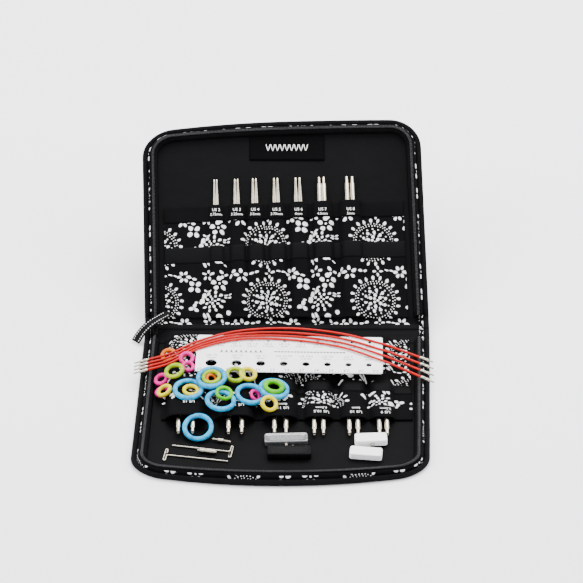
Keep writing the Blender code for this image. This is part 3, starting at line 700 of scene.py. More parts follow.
def build_cable(name, route):
    path = smooth_route(route, CABLE_STEP)
    curve = bpy.data.curves.new(name + "_sheath", "CURVE")
    curve.dimensions = "3D"
    curve.bevel_depth = CABLE_DIAMETER / 2
    curve.bevel_resolution = 5
    curve.use_fill_caps = True
    spline = curve.splines.new("POLY")
    spline.points.add(len(path) - 1)
    for p, q in zip(spline.points, path):
        p.co = (*q, 1)
    spline.use_smooth = True
    curve.materials.append(SHEATH)
    sheath = linked(name + "_sheath", curve)
    settle(sheath, name, name)
    ends = (("left", path[0], path[0] - path[1]), ("right", path[-1], path[-1] - path[-2]))
    for side, at, heading in ends:
        heading.normalize()
        place = facing(at + heading * GAP * 0.3, heading)
        o = turned(f"{name}_threaded_join_{side}", join_profile(), [STEEL], 20, place)
        settle(o, name, f"{name}_join_{side}")


for number, route in enumerate(CABLE_ROUTES, 1):
    build_cable(f"cable_{number}", route)

# ---------------- covers, piping, gussets and zippers

# Sections of the pieces along the case's edge, as (inset, height)
PIPING_SECTION = arc(0.0023, 0.0027, 0.0026, 0, 345, 23)
GUSSET_SECTION = [(0.0048, 0.0030), (0.0047, 0.0040), (0.0051, 0.0055), (0.0059, 0.0069), (0.0073, 0.0082),
                  (0.0081, 0.0084), (0.0083, 0.0079), (0.0077, 0.0070), (0.0070, 0.0056), (0.0066, 0.0033)]
GUSSET_PRINTED = (1, 2)  # the faces of the section that show the print
GUSSET_SHIFT = {"lower": (0.031, 0.0135), "lid": (0.012, 0.0150)}
TAPE_SECTION = [(0.0126, 0.0031), (0.0134, 0.0031), (0.0126, 0.0058), (0.0112, 0.0078), (0.0098, 0.0088),
                (0.0080, 0.0090), (0.0078, 0.0085), (0.0096, 0.0082), (0.0109, 0.0072), (0.0119, 0.0055)]
COVER_INSET = 0.0036
COVER_START = 0.0022
COVER_COLUMNS = 44
COVER_ROWS = 30  # along its straight sides
EDGE_ROUND = 0.004  # the width over which a cover rounds off at its edge
COIL_PITCH = 0.00125
COIL_WIDE = 0.00105  # half the coil's width
COIL_HIGH = 0.00060  # half its height
COIL_WIRE = 0.00027  # its filament's radius
COIL_END = -0.0140  # where the lid's coil ends, beyond its hinge


def build_cover(half):
    """The board in its cloth: black lining inside, print outside, puffed a little at the middle."""
    w, far, r = CASE_WIDTH / 2 - COVER_INSET, HALF_DEPTH - COVER_INSET, CORNER_RADIUS - COVER_INSET
    rows = [COVER_START + (far - r - COVER_START) * j / COVER_ROWS for j in range(COVER_ROWS)]
    rows += [far - r + r * math.sin(math.pi / 2 * j / ARC_STEPS) for j in range(ARC_STEPS + 1)]
    verts, cloth = [], []
    for top in (True, False):
        for s in rows:
            half_width = w - r + math.sqrt(max(r * r - max(s - (far - r), 0) ** 2, 0))
            for i in range(COVER_COLUMNS + 1):
                x = -half_width * math.cos(math.pi * i / COVER_COLUMNS)
                edge = min(half_width - abs(x), far - s, s + 0.01)
                rounding = max(1 - edge / EDGE_ROUND, 0) ** 2
                px, ps = soft(half, x, s)
                z = LOWEST + 0.0010 * rounding
                if top:
                    puff = 0.0005 * noise.noise(Vector((px * 22, ps * 22, len(half)))) * min(edge / 0.02, 1)
                    z = BOARD + puff - 0.0012 * rounding
                verts.append((px, ps, z))
                cloth.append((x, s if half == "lid" else -s, 0.0))
    n, m = COVER_COLUMNS + 1, len(rows)
    faces = grid_faces(m, n)
    top_count = len(faces)
    faces += [tuple(k + n * m for k in f[::-1]) for f in faces]
    border = [j * n for j in range(m)] + [(m - 1) * n + i for i in range(1, n)]
    border += [j * n + n - 1 for j in range(m - 2, -1, -1)] + list(range(n - 2, 0, -1))
    for a, b in zip(border, border[1:] + border[:1]):
        faces.append((a, b, b + n * m, a + n * m))
    slots = [0] * top_count + [1] * (len(faces) - top_count)
    o = mesh_object(half + "_board_cloth", verts, faces, [LINING, PRINT], cloth, PLACE[half], slots)
    face_outwards(o, weld=1e-6)
    settle(o, BODY[half], half + "_cover", finish="print_cotton")


def build_walls(half):
    o = rim_sweep(half + "_piping_cord", half, PIPING_SECTION, [TAPE], waver=0.0002)
    settle(o, BODY[half], half + "_piping", finish="black_fabric")
    o = rim_sweep(half + "_printed_gusset", half, GUSSET_SECTION, [BLACK_CLOTH, PRINT],
                  shift=GUSSET_SHIFT[half], waver=0.0005)
    for face in o.data.polygons:
        face.material_index = int(face.index % len(GUSSET_SECTION) in GUSSET_PRINTED)
    settle(o, BODY[half], half + "_gusset", finish="print_cotton")
    o = rim_sweep(half + "_zip_tape", half, TAPE_SECTION, [TAPE], waver=0.0003)
    settle(o, BODY[half], half + "_zipper_tape", finish="black_fabric")


def build_coil(half):
    """The zipper's nylon coil: one filament wound along the tape's edge."""
    line = rim_line(half, COIL_INSET)
    if half == "lid":
        line.append(soft("lid", COIL_INSET - CASE_WIDTH / 2, COIL_END))
    along = np.cumsum([0.0] + [math.dist(a, b) for a, b in zip(line, line[1:])])

    def at(distance):
        return Vector([np.interp(min(distance, along[-1]), along, [p[i] for p in line]) for i in (0, 1)])

    path = []
    per_turn = 8
    for k in range(int(along[-1] / COIL_PITCH) * per_turn):
        here = at(k * COIL_PITCH / per_turn)
        heading = (at(k * COIL_PITCH / per_turn + 0.002) - here).normalized()
        a = 2 * math.pi * k / per_turn
        x, y = here + Vector((-heading.y, heading.x)) * COIL_WIDE * math.cos(a)
        path.append(Vector((x, y, COIL_HEIGHT + COIL_HIGH * math.sin(a))))
    o = round_tube(half + "_zip_coil", path, COIL_WIRE, [COIL_NYLON], 5, PLACE[half])
    settle(o, BODY[half], finish="black_fabric")


# ---------------- pockets

def taper_radius(diameter, along):
    """A tip's radius at a distance from its point."""
    r, taper = diameter / 2, TIP_TAPER * diameter
    if along >= taper:
        return r
    return max(r * math.sin(math.pi / 2 * max(along, 0) / taper) ** 0.85, 0.0002)


def pocket_height(half, x, s):
    """The pocket cloth's underside, which rises over each pair of tips."""
    best = low = BOARD + GAP
    for diameter, centre, apart, _, _ in TIPS[half]:
        full, r = diameter / 2 + GAP, taper_radius(diameter, s - TIP_POINT[half]) + GAP
        off = abs(x - centre - TIP_LEAN[half] * (s - TIP_LEAN_AT)) - apart / 2
        reach = 1.9 * full + 0.0012
        if off < reach:
            fall = math.cos(math.pi / 2 * (max(off, 0) / reach) ** 1.5) ** 0.9
            best = max(best, low + (full + r) * fall)
    return best


def build_pocket(half, part, mat, extra=0.0, thickness=POCKET_CLOTH):
    """One piece of pocket cloth over the tips, puffed up by extra between its edges."""
    start, end = POCKETS[half][part]
    shift_x, shift_s = PRINT_SHIFT[half].get(part, (0.0, 0.0))
    columns, rows = 170, max(4, round((end - start) / 0.0016))
    verts, cloth = [], []
    for j in range(rows + 1):
        t = j / rows
        puff = extra * math.sin(math.pi * min(max(t, 0.04), 0.96)) ** 0.6
        for i in range(columns + 1):
            x = -POCKET_REACH + 2 * POCKET_REACH * i / columns
            drawn = seam = 0.0
            if half == "lower":
                drawn = HEM_DRAWN * (pocket_height(half, x, end) - BOARD) if part != "panel" else 0.0
                seam = HEM_SEAM * drawn - HEM_TURN * x
            first = start + (seam if part == "hem" else 0.0)
            last = end + (seam if part == "strip" else drawn)
            s = first + (last - first) * t
            px, ps = soft(half, x, s) if half == "lid" else (x, s)
            wrinkle = max(0.00035 * noise.noise(Vector((px * 60, ps * 38, 5.1))), -0.0002)
            verts.append((px, ps, pocket_height(half, px, ps) + puff + wrinkle + 0.0002))
            cloth.append((x - shift_x, s - shift_s, 0.0))
    faces = grid_faces(rows + 1, columns + 1)
    o = mesh_object(f"{half}_pocket_{part}_cloth", verts, faces, [mat], cloth, PLACE[half])
    thicken(o, thickness, 1.0)
    return o


def build_pockets(half):
    """The printed pieces stand for the frame's; the plain band and the hem are pieces of their own."""
    for part in ("panel", "strip"):
        o = build_pocket(half, part, PRINT)
        settle(o, BODY[half], f"{half}_pocket_{part}", finish="print_cotton")
    band = build_pocket(half, "band", LINING, extra=BAND_PUFF[half])
    settle(band, BODY[half], finish="black_fabric")
    hem = build_pocket(half, "hem", BLACK_CLOTH, extra=0.0004, thickness=HEM_CLOTH)
    settle(hem, BODY[half], finish="black_fabric")


for half in ("lower", "lid"):
    build_cover(half)
    build_walls(half)
    build_coil(half)
    build_pockets(half)

# ---------------- spine and the soft folds


def plate_axes(tilt):
    """The directions along and up from a plate that is turned about X."""
    return Vector((0, math.cos(tilt), math.sin(tilt))), Vector((0, -math.sin(tilt), math.cos(tilt)))


SPINE_ALONG, SPINE_UP = plate_axes(SPINE_TILT)
LID_ALONG, LID_UP = plate_axes(2 * SPINE_TILT)
FOLD_REACH = 0.003  # a fold bends between here before its hinge and as far after it
FOLD_CLOTH = 0.0030
FOLD_PRINT_AT = (-0.0170, 0.0348)
FOLD_END = 0.0065  # the spine's cloth ends under the fold of the gusset
# The fold of gusset beside the spine: (inset, height) on the spine, where it is lowest
FOLD_SECTION = [(0.0048, 0.0022), (0.0049, 0.0036), (0.0058, 0.0046), (0.0070, 0.0048), (0.0082, 0.0042),
                (0.0086, 0.0028), (0.0070, 0.0020)]
CORD_SECTION = arc(0.0023, 0.0027, 0.0025, 0, 345, 23)
# Each row of a side fold: which part's frame, how far from that part's hinge, and how high the gusset stands
LOWER_ROWS = [("lower", 0.0062, 1.55), ("lower", 0.0042, 1.35), ("lower", 0.0018, 1.10),
              ("spine", 0.0024, 1.0), ("spine", 0.0055, 1.0), ("spine", SPINE_WIDTH / 2, 1.0)]
LID_ROWS = [("spine" if part == "spine" else "lid", SPINE_WIDTH - s if part == "spine" else s, rise)
            for part, s, rise in reversed(LOWER_ROWS)]


def fold_strip(name, path, mats, print_at=(0.0, 0.0), plain_rows=0):
    """Cloth across one hinge, made solid downwards: path is its upper side, and its first rows are plain."""
    columns = 60
    wide = CASE_WIDTH / 2 - FOLD_END
    verts, cloth, run = [], [], 0.0
    for j, p in enumerate(path):
        if j:
            run += (p - path[j - 1]).length
        for i in range(columns + 1):
            x = -wide + 2 * wide * i / columns
            ripple = 0.00025 * noise.noise(Vector((x * 55, j * 0.4, 2.0)))
            verts.append((x, p.y, p.z + ripple))
            cloth.append((x - print_at[0], run - print_at[1], 0.0))
    faces = grid_faces(len(path), columns + 1)
    slots = [int(f[0] < plain_rows * (columns + 1)) for f in faces]
    o = mesh_object(name, verts, faces, mats, cloth, face_slots=slots)
    thicken(o, FOLD_CLOTH, -1.0)
    bpy.context.view_layer.update()
    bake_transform(o)
    return o


def build_spine():
    """Two strips that meet at the middle of the spine, each over one of its hinges."""
    top = HINGE_HEIGHT + 0.0004
    edges = (0.0035, 0.0050, 0.0068)
    inner = (0.0030, 0.0060)
    middle = FOLD_A + SPINE_ALONG * SPINE_WIDTH / 2 + SPINE_UP * top
    lower_path = [Vector((0, FOLD_A.y - d, BOARD + 0.0004)) for d in reversed(edges)]
    lower_path += [FOLD_A + Vector((0, 0, top - 0.0003))]
    lower_path += [FOLD_A + SPINE_ALONG * d + SPINE_UP * top for d in inner] + [middle]
    upper_path = [middle] + [FOLD_B - SPINE_ALONG * d + SPINE_UP * top for d in reversed(inner)]
    upper_path += [FOLD_B + (SPINE_UP + LID_UP).normalized() * (top - 0.0003)]
    upper_path += [FOLD_B + LID_ALONG * d + LID_UP * top for d in edges]
    fold_strip("spine_fold_cloth",
               lower_path, [LINING])
    o = fold_strip("lid_fold_cloth",
                   upper_path, [PRINT, LINING], FOLD_PRINT_AT,
                   plain_rows=2)
    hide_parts("spine_cover")


def side_ring(part, side, s, section, rise):
    """A section of a side fold, in place."""
    ring = []
    for inset, z in section:
        x = side * (CASE_WIDTH / 2 - inset)
        if part == "lower":
            x = -x
        px, ps = soft(part, x, s) if part in HALVES else (x, s)
        ring.append(PLACE[part] @ Vector((px, ps, z * rise)))
    return ring


def build_side_folds():
    """Beside the spine the piping and a low fold of gusset carry on from one half to the other."""
    folds = (("lower", "lower_half", "spine", FOLD_A - Vector((0, FOLD_REACH, 0)),
              FOLD_A + SPINE_ALONG * FOLD_REACH, LOWER_ROWS),
             ("lid", "spine", "lid", FOLD_B - SPINE_ALONG * FOLD_REACH, FOLD_B + LID_ALONG * FOLD_REACH,
              LID_ROWS))
    for side, word in ((-1, "left"), (1, "right")):
        for name, a, b, start, end, rows in folds:
            cord = [side_ring(part, side, s, CORD_SECTION, 1.0) for part, s, _ in rows]
            gusset = [side_ring(part, side, s, FOLD_SECTION, rise) for part, s, rise in rows]
            place = [(0.001 * k, 0.004 * j, 0.0) for j in range(len(rows)) for k in range(len(FOLD_SECTION))]
            pieces = (("cord", cord, TAPE, None, "black_fabric"),
                      ("fold", gusset, PRINT if side > 0 else BLACK_CLOTH, place, "print_cotton"))
            for kind, rings, mat, cloth, slot in pieces:
                o = swept(f"{word}_{name}_side_{kind}", rings, [mat], cloth)
                bpy.context.view_layer.update()
                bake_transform(o)


build_spine()
build_side_folds()

# ---------------- needle tips

# Lengths along a tip, measured from its open end, and its shank's radius
MOUTH_DEPTH = 0.0050
NECK_LENGTH = 0.0048
SHOULDER = 0.0016
SHANK_END = 0.0225
SHANK_RADIUS = 0.0022
SLIM_SHOULDER = 0.0140  # a thin tip widens slowly from its neck


def tip_profile(diameter):
    """From the neck's threaded mouth down to the point."""
    r, long = diameter / 2, TIP_LENGTH
    neck, shank = min(0.0015, 0.62 * r), min(r, SHANK_RADIUS)
    bore, neck_end, mouth = neck * 0.55, long - NECK_LENGTH, long - MOUTH_DEPTH
    profile = [(0.0, mouth), (bore, mouth), (bore, long - 0.0004), (bore + 0.0002, long - 0.0001),
               (neck - 0.0001, long), (neck, long - 0.0002), (neck, neck_end)]
    if r > shank:
        flare = 1.6 * (r - shank)
        profile += [(neck + (shank - neck) * t, neck_end - SHOULDER * t) for t in (0.2, 0.5, 0.8, 1)]
        profile.append((shank, long - SHANK_END))
        profile += [(shank + (r - shank) * (3 * t * t - 2 * t ** 3), long - SHANK_END - flare * t)
                    for t in (0.2, 0.4, 0.6, 0.8, 1)]
    else:
        profile += [(neck + (shank - neck) * t, neck_end - SLIM_SHOULDER * t) for t in (0.1, 0.4, 0.7, 1)]
    taper = TIP_TAPER * diameter
    profile += [(taper_radius(diameter, t * taper), t * taper)
                for t in (1.0, 0.85, 0.7, 0.55, 0.4, 0.28, 0.18, 0.1, 0.05, 0.02)]
    return profile + [(0.0, 0.0)]


def build_tips(half):
    lean = TIP_LEAN[half]
    for diameter, centre, apart, name, point in TIPS[half]:
        x = centre - lean * (TIP_LEAN_AT - TIP_POINT[half])
        base = (PLACE[half] @ Matrix.Translation((x, point, BOARD + GAP + diameter / 2))
                @ Matrix.Rotation(-math.atan(lean), 4, "Z"))
        parts = []
        for side in (-1, 1):
            splay = Matrix.Rotation(side * TIP_SPLAY[half], 4, "Z")
            turn = (Matrix.Translation((side * apart / 2, 0, 0)) @ splay
                    @ Matrix.Rotation(-math.pi / 2, 4, "X"))
            parts.append(turned(name + "_polished", tip_profile(diameter), [STEEL], 24, base @ turn))
        settle(merged(name + "_polished", parts), name, name)


for half in ("lower", "lid"):
    build_tips(half)

# ---------------- stitch markers

def ring_facts(name):
    """Centre, axis, middle radius and tube radius of a ring in the frame."""
    points = np.array([v.co for v in frame["nodes"][name].data.vertices])
    centre = points.mean(0)
    _, _, axes = np.linalg.svd(points - centre)
    axis = axes[2] if axes[2][2] > 0 else -axes[2]
    height = (points - centre) @ axis
    out = np.linalg.norm((points - centre) - np.outer(height, axis), axis=1)
    return Vector(centre), Vector(axis), (out.max() + out.min()) / 2, (out.max() - out.min()) / 2


def build_ring(name, body, centre, axis, major, minor, colour, nodes=()):
    """A ring whose section is a rounded band, a little uneven, as these markers are."""
    steps, sides, square = 72, 16, 2.6
    rings = []
    for a in circle_angles(steps):
        swell = 1 + 0.035 * math.sin(3 * a + major * 900) + 0.02 * math.sin(7 * a)
        ring = []
        for b in circle_angles(sides):
            r = minor * swell * (abs(math.cos(b)) ** square + abs(math.sin(b)) ** square) ** (-1 / square)
            r = min(r, minor * 1.12)
            out = major + r * math.cos(b)
            ring.append(Vector((out * math.cos(a), out * math.sin(a), r * math.sin(b))))
        rings.append(ring)
    verts = [p for ring in rings for p in ring]
    last = (steps - 1) * sides
    faces = grid_faces(steps, sides, closed=True)
    faces += [(last + k, last + (k + 1) % sides, (k + 1) % sides, k) for k in range(sides)]
    o = mesh_object(name, verts, faces, [MARKER[colour]], place=facing(centre, axis))
    face_outwards(o)
    return settle(o, body, *nodes)


# Small rings that lie in or beside the others: name, body, centre, lean about X and Y in degrees, the radius
# of the ring and of its tube, and colour
SMALL_RINGS = [
    ("ring_green_in_blue_1", "ring_blue_1", (-0.0640, 0.0190, 0.0228), (4, -4), 0.0068, 0.0017, "green"),
    ("ring_orange_in_blue_1", "ring_blue_1", (-0.0640, 0.0196, 0.0200), (18, 24), 0.0042, 0.0012, "orange"),
    ("ring_yellow_in_blue_2", "ring_blue_2", (-0.0812, 0.0078, 0.0176), (0, 4), 0.0058, 0.0016, "yellow"),
    ("ring_green_in_blue_3", "ring_blue_3", (-0.0530, 0.0012, 0.0200), (8, 8), 0.0062, 0.0015, "bright"),
    ("ring_pink_in_blue_4", "ring_blue_4", (-0.0268, 0.0040, 0.0150), (10, 40), 0.0044, 0.0014, "pink"),
    ("ring_green_in_blue_5", "ring_blue_5", (-0.0112, 0.0098, 0.0198), (-2, 8), 0.0072, 0.0021, "bright"),
    ("ring_yellow_beside_green_2", "ring_green_2", (-0.0332, 0.0275, 0.0190), (6, 10), 0.0062, 0.0017,
     "yellow"),
    ("ring_yellow_3", "lower_half", (-0.0150, -0.0100, 0.0180), (22, 18), 0.0060, 0.0017, "yellow"),
    ("ring_pink_1", "lower_half", (-0.0860, 0.0515, 0.0166), (16, 0), 0.0052, 0.0017, "pink"),
    ("ring_pink_2", "lower_half", (-0.0845, 0.0395, 0.0174), (10, 8), 0.0044, 0.0016, "pink"),
    ("ring_pink_3", "lower_half", (-0.1072, 0.0300, 0.0112), (6, -20), 0.0050, 0.0017, "pink"),
    ("ring_pink_4", "lower_half", (-0.1060, 0.0170, 0.0080), (0, -10), 0.0050, 0.0016, "pink"),
    ("ring_orange_1", "lower_half", (-0.1020, 0.0640, 0.0100), (10, -12), 0.0056, 0.0017, "orange"),
]


def build_rings():
    for name in frame["nodes"]:
        if not name.startswith("ring_"):
            continue
        centre, axis, major, minor = ring_facts(name)
        build_ring(name + "_moulded", name, centre, axis, major, minor, name.split("_")[1], [name])
    for name, body, centre, (lean_x, lean_y), major, minor, colour in SMALL_RINGS:
        tilt = Matrix.Rotation(math.radians(lean_y), 3, "Y") @ Matrix.Rotation(math.radians(lean_x), 3, "X")
        o = build_ring(name, body, Vector(centre), tilt @ Vector((0, 0, 1)), major, minor, colour)


build_rings()

# ---------------- gauge card

CARD_SIZE = (0.160, 0.0535, 0.0008)
CARD_PLACE = (Matrix.Translation((0.0015, 0.0306, 0.0178)) @ Matrix.Rotation(math.radians(-1.3), 4, "Z")
              @ Matrix.Rotation(math.radians(-4.3), 4, "X"))
CARD_CORNER = 0.002
# The two rows of holes: the first one's place, the space from edge to edge, millimetre and US sizes, and how
# far each size is printed from its hole, with its height
LARGE_HOLES = {"at": (-0.0667, 0.0123), "space": 0.0122, "mm": ("10", "9", "8", "7", "6.5", "6", "5.5", "5"),
               "us": ("15", "13", "11", "10.75", "10.5", "10", "9", "8"),
               "us_print": (0.0110, 0.0038), "mm_print": (0.0074, 0.0032)}
SMALL_HOLES = {"at": (0.0696, 0.0459), "space": -0.0112,
               "mm": ("4.5", "4", "3.75", "3.5", "3.25", "3", "2.75", "2.5", "2.25", "2"),
               "us": ("7", "6", "5", "4", "3", "2.5", "2", "1.5", "1", "0"),
               "us_print": (-0.0048, 0.0036), "mm_print": (-0.0082, 0.0030)}
INK_TOP = CARD_SIZE[2] + 0.00003
# The rule along the near edge, the row of dashes and the row of darts
RULE_START = -0.0780
RULE_STEP = 0.0125
DASHES = {"at": (-0.0130, 0.0290), "step": 0.0028, "count": 22, "size": (0.0021, 0.0016)}
DARTS = {"at": (-0.0600, 0.0270), "step": 0.0042, "count": 9, "wide": 0.0016, "notch": 0.0018, "high": 0.0052}


def hole_row(holes):
    """Each hole's place, radius and two sizes."""
    x, y = holes["at"]
    before, row = None, []
    for size, us in zip(holes["mm"], holes["us"]):
        d = float(size) / 1000
        if before is not None:
            x += holes["space"] + math.copysign((d + before) / 2, holes["space"])
        row.append((x, y, d / 2, size, us))
        before = d
    return row


def printed(name, words, height, at, mat, place, thick=0.00002):
    """Flat lettering, centred, a little proud of the surface that it lies on."""
    curve = bpy.data.curves.new(name, "FONT")
    curve.body = words
    curve.size = height
    curve.align_x = curve.align_y = "CENTER"
    curve.extrude = thick
    curve.resolution_u = 3
    o = linked(name, curve, place @ Matrix.Translation(at))
    bpy.context.view_layer.update()
    mesh = bpy.data.meshes.new_from_object(o)
    mesh.materials.clear()
    mesh.materials.append(mat)
    flat = linked(name, mesh, o.matrix_world)
    bpy.data.objects.remove(o)
    return flat


def build_card():
    width, depth, thick = CARD_SIZE
    loops = [[(x, y + depth / 2) for x, y in rounded_outline(width, depth, CARD_CORNER)]]
    for x, y, r, _, _ in hole_row(LARGE_HOLES) + hole_row(SMALL_HOLES):
        loops.append([(x + r * math.cos(a), y + r * math.sin(a)) for a in circle_angles(32)])
    bm = bmesh.new()
    edges = []
    for loop in loops:
        verts = [bm.verts.new((x, y, 0)) for x, y in loop]
        edges += [bm.edges.new((a, b)) for a, b in zip(verts, verts[1:] + verts[:1])]
    bmesh.ops.triangle_fill(bm, use_beauty=True, edges=edges, normal=(0, 0, 1))
    solid = bmesh.ops.extrude_face_region(bm, geom=bm.faces[:])
    raised = [v for v in solid["geom"] if isinstance(v, bmesh.types.BMVert)]
    bmesh.ops.translate(bm, vec=(0, 0, thick), verts=raised)
    bmesh.ops.recalc_face_normals(bm, faces=bm.faces)
    mesh = bpy.data.meshes.new("gauge_card_printed")
    bm.to_mesh(mesh)
    bm.free()
    mesh.materials.append(WHITE_PLASTIC)
    settle(linked("gauge_card_printed", mesh, CARD_PLACE), "gauge_card", "gauge_card")


def print_card():
    """The sizes beside the holes, the rule, the dashes and the darts."""
    words = []

    def word(text, height, x, y):
        words.append(printed("n", text, height, (x, y, INK_TOP), GREY_INK, CARD_PLACE))

    def mark(shape):
        corners = [(x, y, INK_TOP) for x, y in shape]
        words.append(mesh_object("n", corners, [tuple(range(len(shape)))], [GREY_INK], place=CARD_PLACE))

    def bar(x, y, wide, high):
        mark([(x, y), (x + wide, y), (x + wide, y + high), (x, y + high)])

    for holes in (LARGE_HOLES, SMALL_HOLES):
        for x, y, _, size, us in hole_row(holes):
            for text, (away, height) in (("US " + us, holes["us_print"]), (size + "mm", holes["mm_print"])):
                word(text, height, x, y + away)
    for k in range(13):
        bar(RULE_START + RULE_STEP * k, 0.0006, 0.0006, 0.0040)
        word(str(k), 0.0042, RULE_START + 0.0025 + RULE_STEP * k, 0.0032)
        for part in range(1, 5):
            bar(RULE_START + RULE_STEP * (k + part / 5), 0.0006, 0.0003, 0.0014)
    for k in range(DASHES["count"]):
        bar(DASHES["at"][0] + DASHES["step"] * k, DASHES["at"][1], *DASHES["size"])
    for k in range(DARTS["count"]):
        x, y, w = DARTS["at"][0] + DARTS["step"] * k, DARTS["at"][1], DARTS["wide"]
        mark([(x, y), (x + w, y + DARTS["notch"]), (x + 2 * w, y), (x + w, y + DARTS["high"])])
    settle(merged("gauge_card_numbers", words), "gauge_card", finish="white_card")


build_card()
print_card()

# ---------------- keys, connectors and end stoppers

KEY_WIRE = 0.00075
KEY_HEAD = (0.0018, 0.0060)
KEY_DRAWN = 0.00058  # the wire's own radius, a little less than the frame's
KEYS = [("tightening_key_1", (-0.0958, -0.0472), (-0.0475, -0.0552)),
        ("tightening_key_2", (-0.0489, -0.0673), (-0.1000, -0.0592))]


def build_keys():
    """Bent wires: a straight shank, a corner and a flattened loop across its end."""
    wide, side = KEY_HEAD[0] / 2, KEY_HEAD[1]
    for name, tip, head in KEYS:
        a, b = Vector((*tip, 0)), Vector((*head, 0))
        long = (b - a).length
        path = [(0.0, 0.0), (0.0006, 0.0), (long * 0.5, 0.0), (long - 0.0014, 0.0), (long - 0.0003, 0.0003),
                (long, 0.0014)]
        path += arc(long + wide, side, wide, 180, 0, 8) + [(long + 2 * wide, 0.0)]
        path += arc(long + wide, -side, wide, 0, -180, 8) + [(long, -2 * KEY_WIRE - GAP)]
        place = (Matrix.Translation((*tip, BOARD + GAP + KEY_WIRE))
                 @ Matrix.Rotation(math.atan2((b - a).y, (b - a).x), 4, "Z"))
        o = round_tube(name + "_wire", [Vector((x, y, 0)) for x, y in path], KEY_DRAWN, [STEEL], 12, place)
        settle(o, name, name)


def threaded(z0, z1, r, depth=0.00016, pitch=0.00042):
    """A stretch of fine thread ridges."""
    steps = max(2, int((z1 - z0) / pitch))
    rows = []
    for k in range(steps):
        z = z0 + (z1 - z0) * k / steps
        rows += [(r - depth, z), (r, z + 0.4 * (z1 - z0) / steps)]
    return rows + [(r - depth, z1)]


# Centre, heading in degrees, and turned profile as (radius, distance along)
CONNECTORS = [
    ("cable_connector_1", (-0.0666, -0.0557), -9.5,
     [(0, 0.0), (0.00075, 0.0)] + threaded(0.0001, 0.0020, 0.0009) + [(0.0016, 0.0022), (0.0017, 0.0023)]
     + [(0.0017, 0.0033), (0.00155, 0.00335), (0.00155, 0.0037), (0.0017, 0.00375), (0.0017, 0.0059)]
     + [(0.0013, 0.0062), (0.0013, 0.0082), (0.0018, 0.0084), (0.0018, 0.0100), (0.00165, 0.01005)]
     + [(0.00165, 0.0105), (0.0018, 0.01055), (0.0018, 0.0145), (0.0009, 0.0160), (0, 0.0160)]),
    ("cable_connector_2", (-0.0547, -0.0420), -14.0,
     [(0, 0.0), (0.0006, 0.0), (0.0009, 0.0006)] + threaded(0.0008, 0.0048, 0.0010)
     + [(0.0015, 0.0052), (0.0017, 0.0054), (0.0017, 0.0064), (0.0015, 0.0066), (0.0015, 0.0079)]
     + [(0.0017, 0.0081), (0.0017, 0.0092), (0.0015, 0.0095)]
     + threaded(0.0099, 0.0150, 0.0010) + [(0.0006, 0.0160), (0, 0.0160)]),
]

STOPPER_CORNER = 0.0022
STOPPER_SHARP = math.radians(50)
# Centre, size, turn about Z in degrees, and the stud's place and side
STOPPERS = [
    ("end_stopper_black_1", (-0.0008, -0.0420), (0.0365, 0.0115, 0.0055), 2.0, (0.0, -1)),
    ("end_stopper_black_2", (0.0018, -0.0590), (0.0365, 0.0115, 0.0065), 0.0, (0.0030, 1)),
    ("end_stopper_white_1", (0.0700, -0.0425), (0.0270, 0.0110, 0.0062), 3.0, (0.0010, -1)),
    ("end_stopper_white_2", (0.0655, -0.0600), (0.0270, 0.0110, 0.0062), -6.5, (0.0022, 1)),
]


def build_connectors():
    for name, place, heading, profile in CONNECTORS:
        along = Vector((math.cos(math.radians(heading)), math.sin(math.radians(heading)), 0))
        widest = max(r for r, _ in profile)
        start = Vector((*place, BOARD + GAP + widest)) - along * profile[-1][1] / 2
        o = turned(name + "_threaded", profile, [STEEL], 20, facing(start, along))
        settle(o, name, name)


def build_stoppers():
    """A moulded cap with a rounded rim, a metal stud and, on the white ones, fine ridges along its sides."""
    stud_profile = [(0, -0.0006), (0.0015, -0.0006), (0.0015, 0.0004), (0.0009, 0.0005)]
    stud_profile += threaded(0.0006, 0.0026, 0.0012, 0.00022) + [(0.0007, 0.0028), (0, 0.0028)]
    for name, place, (long, wide, high), turn, (stud_x, side) in STOPPERS:
        ridged = "white" in name
        sides = rounded_outline(long, wide, STOPPER_CORNER)
        levels = [(0.0007, 0.0), (0.0002, 0.0003), (0.0, 0.0008)]
        if ridged:
            levels += [(0.00016 * (k % 2), 0.0010 + (high - 0.0020) * k / 16) for k in range(17)]
        levels += [(0.0, high - 0.0009), (0.0002, high - 0.0004), (0.0006, high - 0.0001), (0.0011, high),
                   (0.0016, high - (0.0 if ridged else 0.0004))]
        rings = [[Vector((x * (1 - 2 * inward / long), y * (1 - 2 * inward / wide), z)) for x, y in sides]
                 for inward, z in levels]
        rings.append([Vector((x * 0.72, y * 0.55, levels[-1][1])) for x, y in sides])
        seat = Matrix.Translation((*place, BOARD + GAP)) @ Matrix.Rotation(math.radians(turn), 4, "Z")
        # The first black stopper gets the copy of black plastic with a lighter grey base colour as painted
        # reflection; the second gets the plain black plastic.
        plastic = WHITE_PLASTIC if ridged else GLOSS_BLACK_PAINTED_LIT if name.endswith("1") else BLACK_PLASTIC
        body = swept(name + "_moulded", rings, [plastic], place=seat)
        body.data.set_sharp_from_angle(angle=STOPPER_SHARP)
        at = (Matrix.Translation((stud_x, side * wide / 2, high / 2))
              @ Matrix.Rotation(-side * math.pi / 2, 4, "X"))
        stud = turned(name + "_stud", stud_profile, [STEEL], 20, seat @ at)
        settle(body, name, name)
        settle(stud, name, finish="steel")


build_keys()
build_connectors()
build_stoppers()

# ---------------- zipper slider, puller and ribbon

